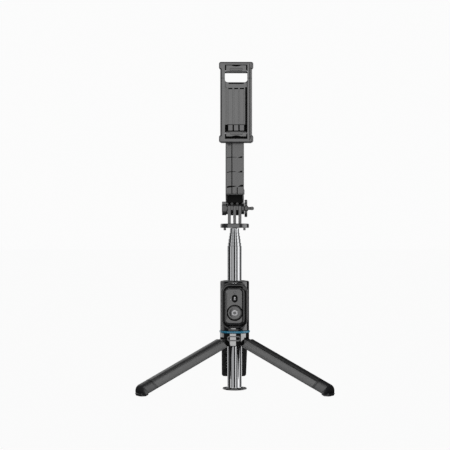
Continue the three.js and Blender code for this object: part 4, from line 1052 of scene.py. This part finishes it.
def add_arm():
    front_view = [(-ARM_HALF, TILT_Z + 3), (ARM_HALF, TILT_Z + 3), (ARM_HALF, SWIVEL_Z)]
    front_view += arc(0, SWIVEL_Z, ARM_HALF, 0, 180, 48)
    body = kept(prism("x", arm_profile(), (-ARM_HALF, ARM_HALF), edge=1.3, far_edge=1.3),
                prism("y", front_view, (-30, 10)))
    z_low, z_high = TILT_Z + 14, SWIVEL_Z - ARM_HALF - 2
    tools = [box(LEFT_LINE, (ARM_FRONT - 1, ARM_FRONT + 1.6), (z_low, z_high)),
             box((2.5, 2.9), (ARM_FRONT - 1, ARM_FRONT + 0.12), (z_low + 8, z_high)),
             box((2.0, 2.9), (ARM_FRONT - 1, ARM_FRONT + 1.6), (z_low, z_low + 6.5)),
             box((-7.6, 7.6), (-30, -12), (TILT_Z, HOLLOW_TOP))]
    for z, thick, rise, reach in ARCHES:
        tools += [arch_line(z, thick), arch_wedge(z, rise, reach)]
    body = cut(body, *tools)
    root = [(-6.6, TILT_Z + 2), (2, TILT_Z + 6), (-4.6, TILT_Z + 12), (-12, TILT_Z + 9)]
    tongues = []
    for span in TONGUES:
        tongues.append(tilt_rod(span, TONGUE_RADIUS, edge=0.3, sides=80))
        tongues.append(prism("x", root, span))
    ear = rod("x", (ARM_HALF - 1, ARM_HALF + 0.5), 2.6, -17.6, TILT_Z + 16, edge=0.35, sides=40)
    arm = cut(joined(body, *tongues), rod("y", (-30, 0), 2.2, 0, SWIVEL_Z),
              rod("y", (ARM_BACK - 2.2, 0), 4.3, 0, SWIVEL_Z), tilt_rod((-8, 8), TILT_HOLE))
    # Painted shade: the grooves, the hollow above the hinge, the tongues' lower ends and the ear's outer side
    # are drawn near-black.
    piece("arm_moulded", joined(arm, ear), "arm", "satin", ["clamp_arm"], bevel=0.15,
          shaded=lambda at, facing: abs(at.x) < 7.65 and in_painted_shade(at) or at.x > EAR_X)


# ---- phone clamp

CLAMP_X = 1.3
CLAMP_FRONT = -33.6
CLAMP_BACK = -23.7
COVER_FRONT = -25.6
COVER_TOP = 20.1
BASE_BACK = -25.9
WIDE = 11.0
OPENING_TOP = 36.6
OPENING_BOTTOM = -35.8
SEAM_Z = 23.3
CHANNEL_OUTER = 13.9
CHANNEL_BOTTOM = -22.0
CHANNEL_FRONT = -32.2
PLATE_FRONT = -31.9
PLATE_BACK = -30.3
PLATE_TOP = 19.7
PLATE_BOTTOM = -21.8
PLATE_HALF = 9.05
RIB_XS = (-5.6, 0, 5.6)
FLANGE_FRONT = -31.1
WEB_FRONT = -28.4
TAB_BOTTOM = -27.7
RAIL_X = 12.4
RAIL_Y = -28.0
CLAW_Y = -31.2
CLAW_HALF = 10.3
CLAW_PIN_RADIUS = 1.0
UPPER_PIVOT = 30.8
LOWER_PIVOT = -30.1
ROD_RADIUS = 0.8
COVER_SCREW_Z = -33.0
GROOVE_TOP = 14.2
CORNER_RADIUS = 2.9              # the window's lower corners
CORNER_CENTRE = (8.1, 22.6)
SPRING_TURNS = 8
SPRING_RADIUS = 1.05
SPRING_WIRE = 0.28
SPRING_SPAN = (-19.6, 19.1)
CLAMP_PLACE = Matrix.Translation((CLAMP_X, 0, SWIVEL_Z))


def clamp_block(heights, back):
    frame_bar = prism("y", rounded(31.2, 79.2, 3.3), (CLAMP_FRONT, 0), edge=3.0, steps=10)
    bumpers = [prism("y", rounded(33.6, 7.7, 2.1, 0, end * 35.75), (CLAMP_FRONT + 0.2, 0), edge=1.8, steps=6)
               for end in BOTH]
    return kept(joined(frame_bar, *bumpers), box((-20, 20), (-40, back), heights))


def in_opening(at, facing):
    """True for the faces that line the clamp's opening behind its front edge, which are given painted shade.
    """
    lining = abs(at.x) < WIDE + 0.2 and OPENING_BOTTOM - 0.2 < at.z < OPENING_TOP + 0.2
    return lining and at.y > CLAMP_FRONT + 1.2 and facing.y > -0.3 and abs(at.x) > WIDE - 0.3


def rail_rods(axis, span, radius, height=RAIL_Y, sides=24):
    """A rod in line with each rail: along z at the rail's depth, or along y at a height."""
    return [rod(axis, span, radius, side * RAIL_X, height, sides=sides) for side in BOTH]


def claw_pin_hole(pivot, reach=13):
    return rod("x", (-reach, reach), CLAW_PIN_RADIUS, CLAW_Y, pivot, sides=32)


def add_clamp_base():
    channels = [box(span_of(side, WIDE - 1, CHANNEL_OUTER), (CHANNEL_FRONT, 0), (CHANNEL_BOTTOM, 60))
                for side in BOTH]
    opening = box((-WIDE, WIDE), (-50, 0), (OPENING_BOTTOM, 60))
    shell = cut(clamp_block((-50, SEAM_Z), BASE_BACK), opening, *channels)
    web = cut(box((-WIDE - 1, WIDE + 1), (WEB_FRONT, BASE_BACK), (OPENING_BOTTOM - 1, CHANNEL_BOTTOM)),
              *[box(span_of(side, 7.9, WIDE), (-40, 0), (TAB_BOTTOM, CHANNEL_BOTTOM + 1)) for side in BOTH])
    tabs = [prism("y", rounded(4.4, CHANNEL_BOTTOM - TAB_BOTTOM, 0.3, x, (CHANNEL_BOTTOM + TAB_BOTTOM) / 2),
                  (PLATE_FRONT, WEB_FRONT + 1), edge=0.25) for x in RIB_XS]
    lugs = [box(span_of(side, WIDE, CHANNEL_OUTER + 0.5), (-29.8, BASE_BACK), (19.4, SEAM_Z))
            for side in BOTH]
    base = cut(joined(shell, web, *tabs, *lugs), *rail_rods("z", (-27, 30), ROD_RADIUS),
               *rail_rods("y", (-30, 0), SCREW_HOLE, COVER_SCREW_Z), claw_pin_hole(LOWER_PIVOT))
    # Painted shade: the faces deep behind the plate, in the channels and on the web, and those lining the
    # opening are drawn near-black.
    piece("clamp_frame", base, "clamp", "clamp", ["clamp_base"], bevel=0.12, place=CLAMP_PLACE,
          shaded=lambda at, facing: abs(at.x) < CHANNEL_OUTER + 0.1 and at.y > WEB_FRONT - 0.6
          or in_opening(at, facing))


def add_clamp_cover():
    cover = kept(clamp_block((-50, COVER_TOP), CLAMP_BACK), box((-20, 20), (COVER_FRONT, 0), (-50, 50)))
    cover = joined(cover, rod("y", (-29.5, COVER_FRONT + 0.5), 5, -CLAMP_X, 0, edge=0.3))
    ribs = [box((x - 0.4, x + 0.4), (CLAMP_BACK - 0.4, 0), (8.5, 16)) for x in (-6, -3, 0, 3, 6)]
    cover = cut(cover, rod("y", (-40, 0), 2.1, -CLAMP_X, 0), *ribs,
                *rail_rods("y", (-40, 0), SCREW_HOLE, COVER_SCREW_Z),
                *rail_rods("y", (CLAMP_BACK - 0.9, 0), SCREW_WELL, COVER_SCREW_Z, sides=32))
    # Painted shade: every front face of the cover, seen through the slots and the window, is drawn
    # near-black.
    piece("clamp_cover", cover, "clamp", "clamp", ["clamp_back_cover"], bevel=0.2, place=CLAMP_PLACE,
          shaded=lambda at, facing: facing.y < -0.5)
    for name, side in SIDES:
        head, shank = (CLAMP_BACK - 0.6, CLAMP_BACK), (-29.5, CLAMP_BACK - 0.4)
        screw = cross_screw(side * RAIL_X, COVER_SCREW_Z, head, shank, CLAMP_BACK - 0.3, 0.15, 32, 24)
        piece(f"cover_screw_{name}_cross", screw, "clamp", "steel", [f"cover_screw_{name}"],
              place=CLAMP_PLACE)


def beside_plate(at):
    """True for the recess between the plate and the right rail, and the line along the left rail, which are
    given painted shade.
    """
    recess = PLATE_HALF + 0.4 < at.x < WIDE + 3
    line = -WIDE - 3 < at.x < 0.2 - WIDE
    return at.y > PLATE_FRONT + 0.4 and (recess or line)


def add_clamp_slider():
    head = cut(clamp_block((SEAM_Z + GAP, 50), CLAMP_BACK), box((-WIDE, WIDE), (-50, 0), (0, OPENING_TOP)))
    wall = box((-WIDE - 1, WIDE + 1), (-28.6, CLAMP_BACK), (29.2, OPENING_TOP + 1))
    flange = CHANNEL_OUTER - GAP
    middle = (PLATE_TOP + PLATE_BOTTOM) / 2
    tall = PLATE_TOP - PLATE_BOTTOM
    plate = joined(
        box((-flange, flange), (FLANGE_FRONT, PLATE_BACK), (PLATE_BOTTOM, PLATE_TOP)),
        prism("y", rounded(2 * PLATE_HALF, tall, 0.4, 0, middle), (PLATE_FRONT, PLATE_BACK), edge=0.3),
        prism("y", rounded(21.4, 5, 0.4, 0, 17.2), (PLATE_FRONT - 0.05, PLATE_BACK), edge=0.3),
    )
    groove_heights = (PLATE_BOTTOM - 1, GROOVE_TOP)
    grooves = [box(span, (FLANGE_FRONT - 1, FLANGE_FRONT + 0.5), groove_heights)
               for span in ((0.2 - WIDE, 0.9 - WIDE), (PLATE_HALF + 0.1, WIDE - 0.1))]
    strips = [box(span_of(side, WIDE + GAP, flange), (FLANGE_FRONT, PLATE_BACK), (PLATE_TOP - 1, SEAM_Z + 2))
              for side in BOTH]
    x, z = CORNER_CENTRE
    bend = arc(x, z, CORNER_RADIUS, 0, -90, 9)
    corners = [prism("y", [(side * u, v) for u, v in [(x, 19.2), (11.6, 19.2), (11.6, z)] + bend],
                     (FLANGE_FRONT, PLATE_BACK)) for side in BOTH]
    ribs = [prism("y", rounded(4.3, 35.8, 0.5, x, -3.9), (PLATE_FRONT - 0.4, PLATE_FRONT + 0.5), edge=0.3)
            for x in RIB_XS]
    slots = [box((x - 2, x + 2), (-40, 0), (12.8, 14.1)) for x in RIB_XS]
    slots.append(box((-7.4, 7.4), (-40, 0), (17.9, 19.1)))
    lug_holes = rail_rods("z", (-30, 30), ROD_RADIUS)
    lug_depths, lug_heights = (PLATE_BACK - 0.5, -26.4), (PLATE_BOTTOM, -20.3)
    lugs = [cut(box(span_of(side, WIDE + 0.2, flange), lug_depths, lug_heights), hole)
            for side, hole in zip(BOTH, lug_holes)]
    slider = cut(joined(head, wall, plate, *strips, *corners, *ribs, *lugs), *slots, *grooves,
                 claw_pin_hole(UPPER_PIVOT, 13.5))
    # Painted shade: the faces behind the claw, the opening's lining and the grooves beside the plate are
    # drawn near-black.
    piece("slider_frame", slider, "clamp_head", "clamp", ["clamp_slider"], bevel=0.12, place=CLAMP_PLACE,
          shaded=lambda at, facing: at.z > 28 and at.y > PLATE_FRONT + 0.3 and abs(at.x) < WIDE + 0.1
          or in_opening(at, facing) or beside_plate(at))


def add_springs():
    """Coils between the frame's lug above and the slider's lug below."""
    steps, sides = 24, 8             # of one turn, and of the wire
    low, high = SPRING_SPAN[0] + SPRING_WIRE, SPRING_SPAN[1] - SPRING_WIRE
    for name, side in SIDES:
        points = []
        stations = SPRING_TURNS * steps
        for step in range(stations + 1):
            angle = 2 * math.pi * step / steps
            outward = Vector((math.cos(angle), math.sin(angle), 0))
            height = low + (high - low) * step / stations
            middle = Vector((side * RAIL_X, RAIL_Y, height)) + SPRING_RADIUS * outward
            for k in range(sides):
                turned = 2 * math.pi * k / sides
                across = math.cos(turned) * outward + Vector((0, 0, math.sin(turned)))
                points.append(middle + SPRING_WIRE * across)
        faces = [list(range(sides)), [stations * sides + k for k in range(sides)]]
        for step in range(stations):
            for k in range(sides):
                base, beside = step * sides + k, step * sides + (k + 1) % sides
                faces.append([base, beside, beside + sides, base + sides])
        coil = piece(f"coil_{name}", mesh_from(points, faces), "clamp", "steel", [f"clamp_spring_{name}"],
                     place=CLAMP_PLACE)
        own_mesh(coil)


def add_claw(name, pivot, up, reach, notch_depth):
    """A claw with its pad. `up` is 1 or -1, the way that it points from its pin."""
    def heights(low, high):
        ends = (pivot + up * low, pivot + up * high)
        return (min(ends), max(ends))
    barrel = rod("x", (-CLAW_HALF, CLAW_HALF), 2, CLAW_Y, pivot, edge=0.35, sides=48)
    blade_half = CLAW_HALF - 0.6
    blade = box((-blade_half, blade_half), (CLAW_Y - 2, CLAW_Y + 1.6), heights(0, reach))
    notch = rod("y", (-40, 0), 12, 0, pivot + up * (reach - notch_depth + 12), sides=160)
    middle = (reach - 2) / 2 - 0.4
    pocket = box((-6.4, 6.4), (-40, CLAW_Y - 1.1), heights(middle - 1.5, middle + 1.5))
    claw = cut(joined(blade, barrel), notch, pocket, claw_pin_hole(pivot))
    piece(f"{name}_claw_moulded", claw, f"{name}_jaw", "clamp", [f"{name}_claw"], bevel=0.2,
          place=CLAMP_PLACE)
    low, high = heights(middle - 1.2, middle + 1.2)
    pad = prism("y", rounded(12.2, high - low, 0.5, 0, (low + high) / 2), (CLAW_Y - 2.2, CLAW_Y - 1.4),
                edge=0.3)
    piece(f"{name}_pad_ribbed", pad, f"{name}_jaw", "pad", [f"{name}_claw_pad"], place=CLAMP_PLACE)


add_pole()
add_foot_disc()
add_handle()
add_remote()
add_hub()
add_legs()
add_pan_head()
add_hinge()
add_arm()
add_clamp_base()
add_clamp_cover()
add_clamp_slider()
add_springs()
add_claw("upper", UPPER_PIVOT, 1, 5.2, 1.1)
add_claw("lower", LOWER_PIVOT, -1, 3.2, 0.9)
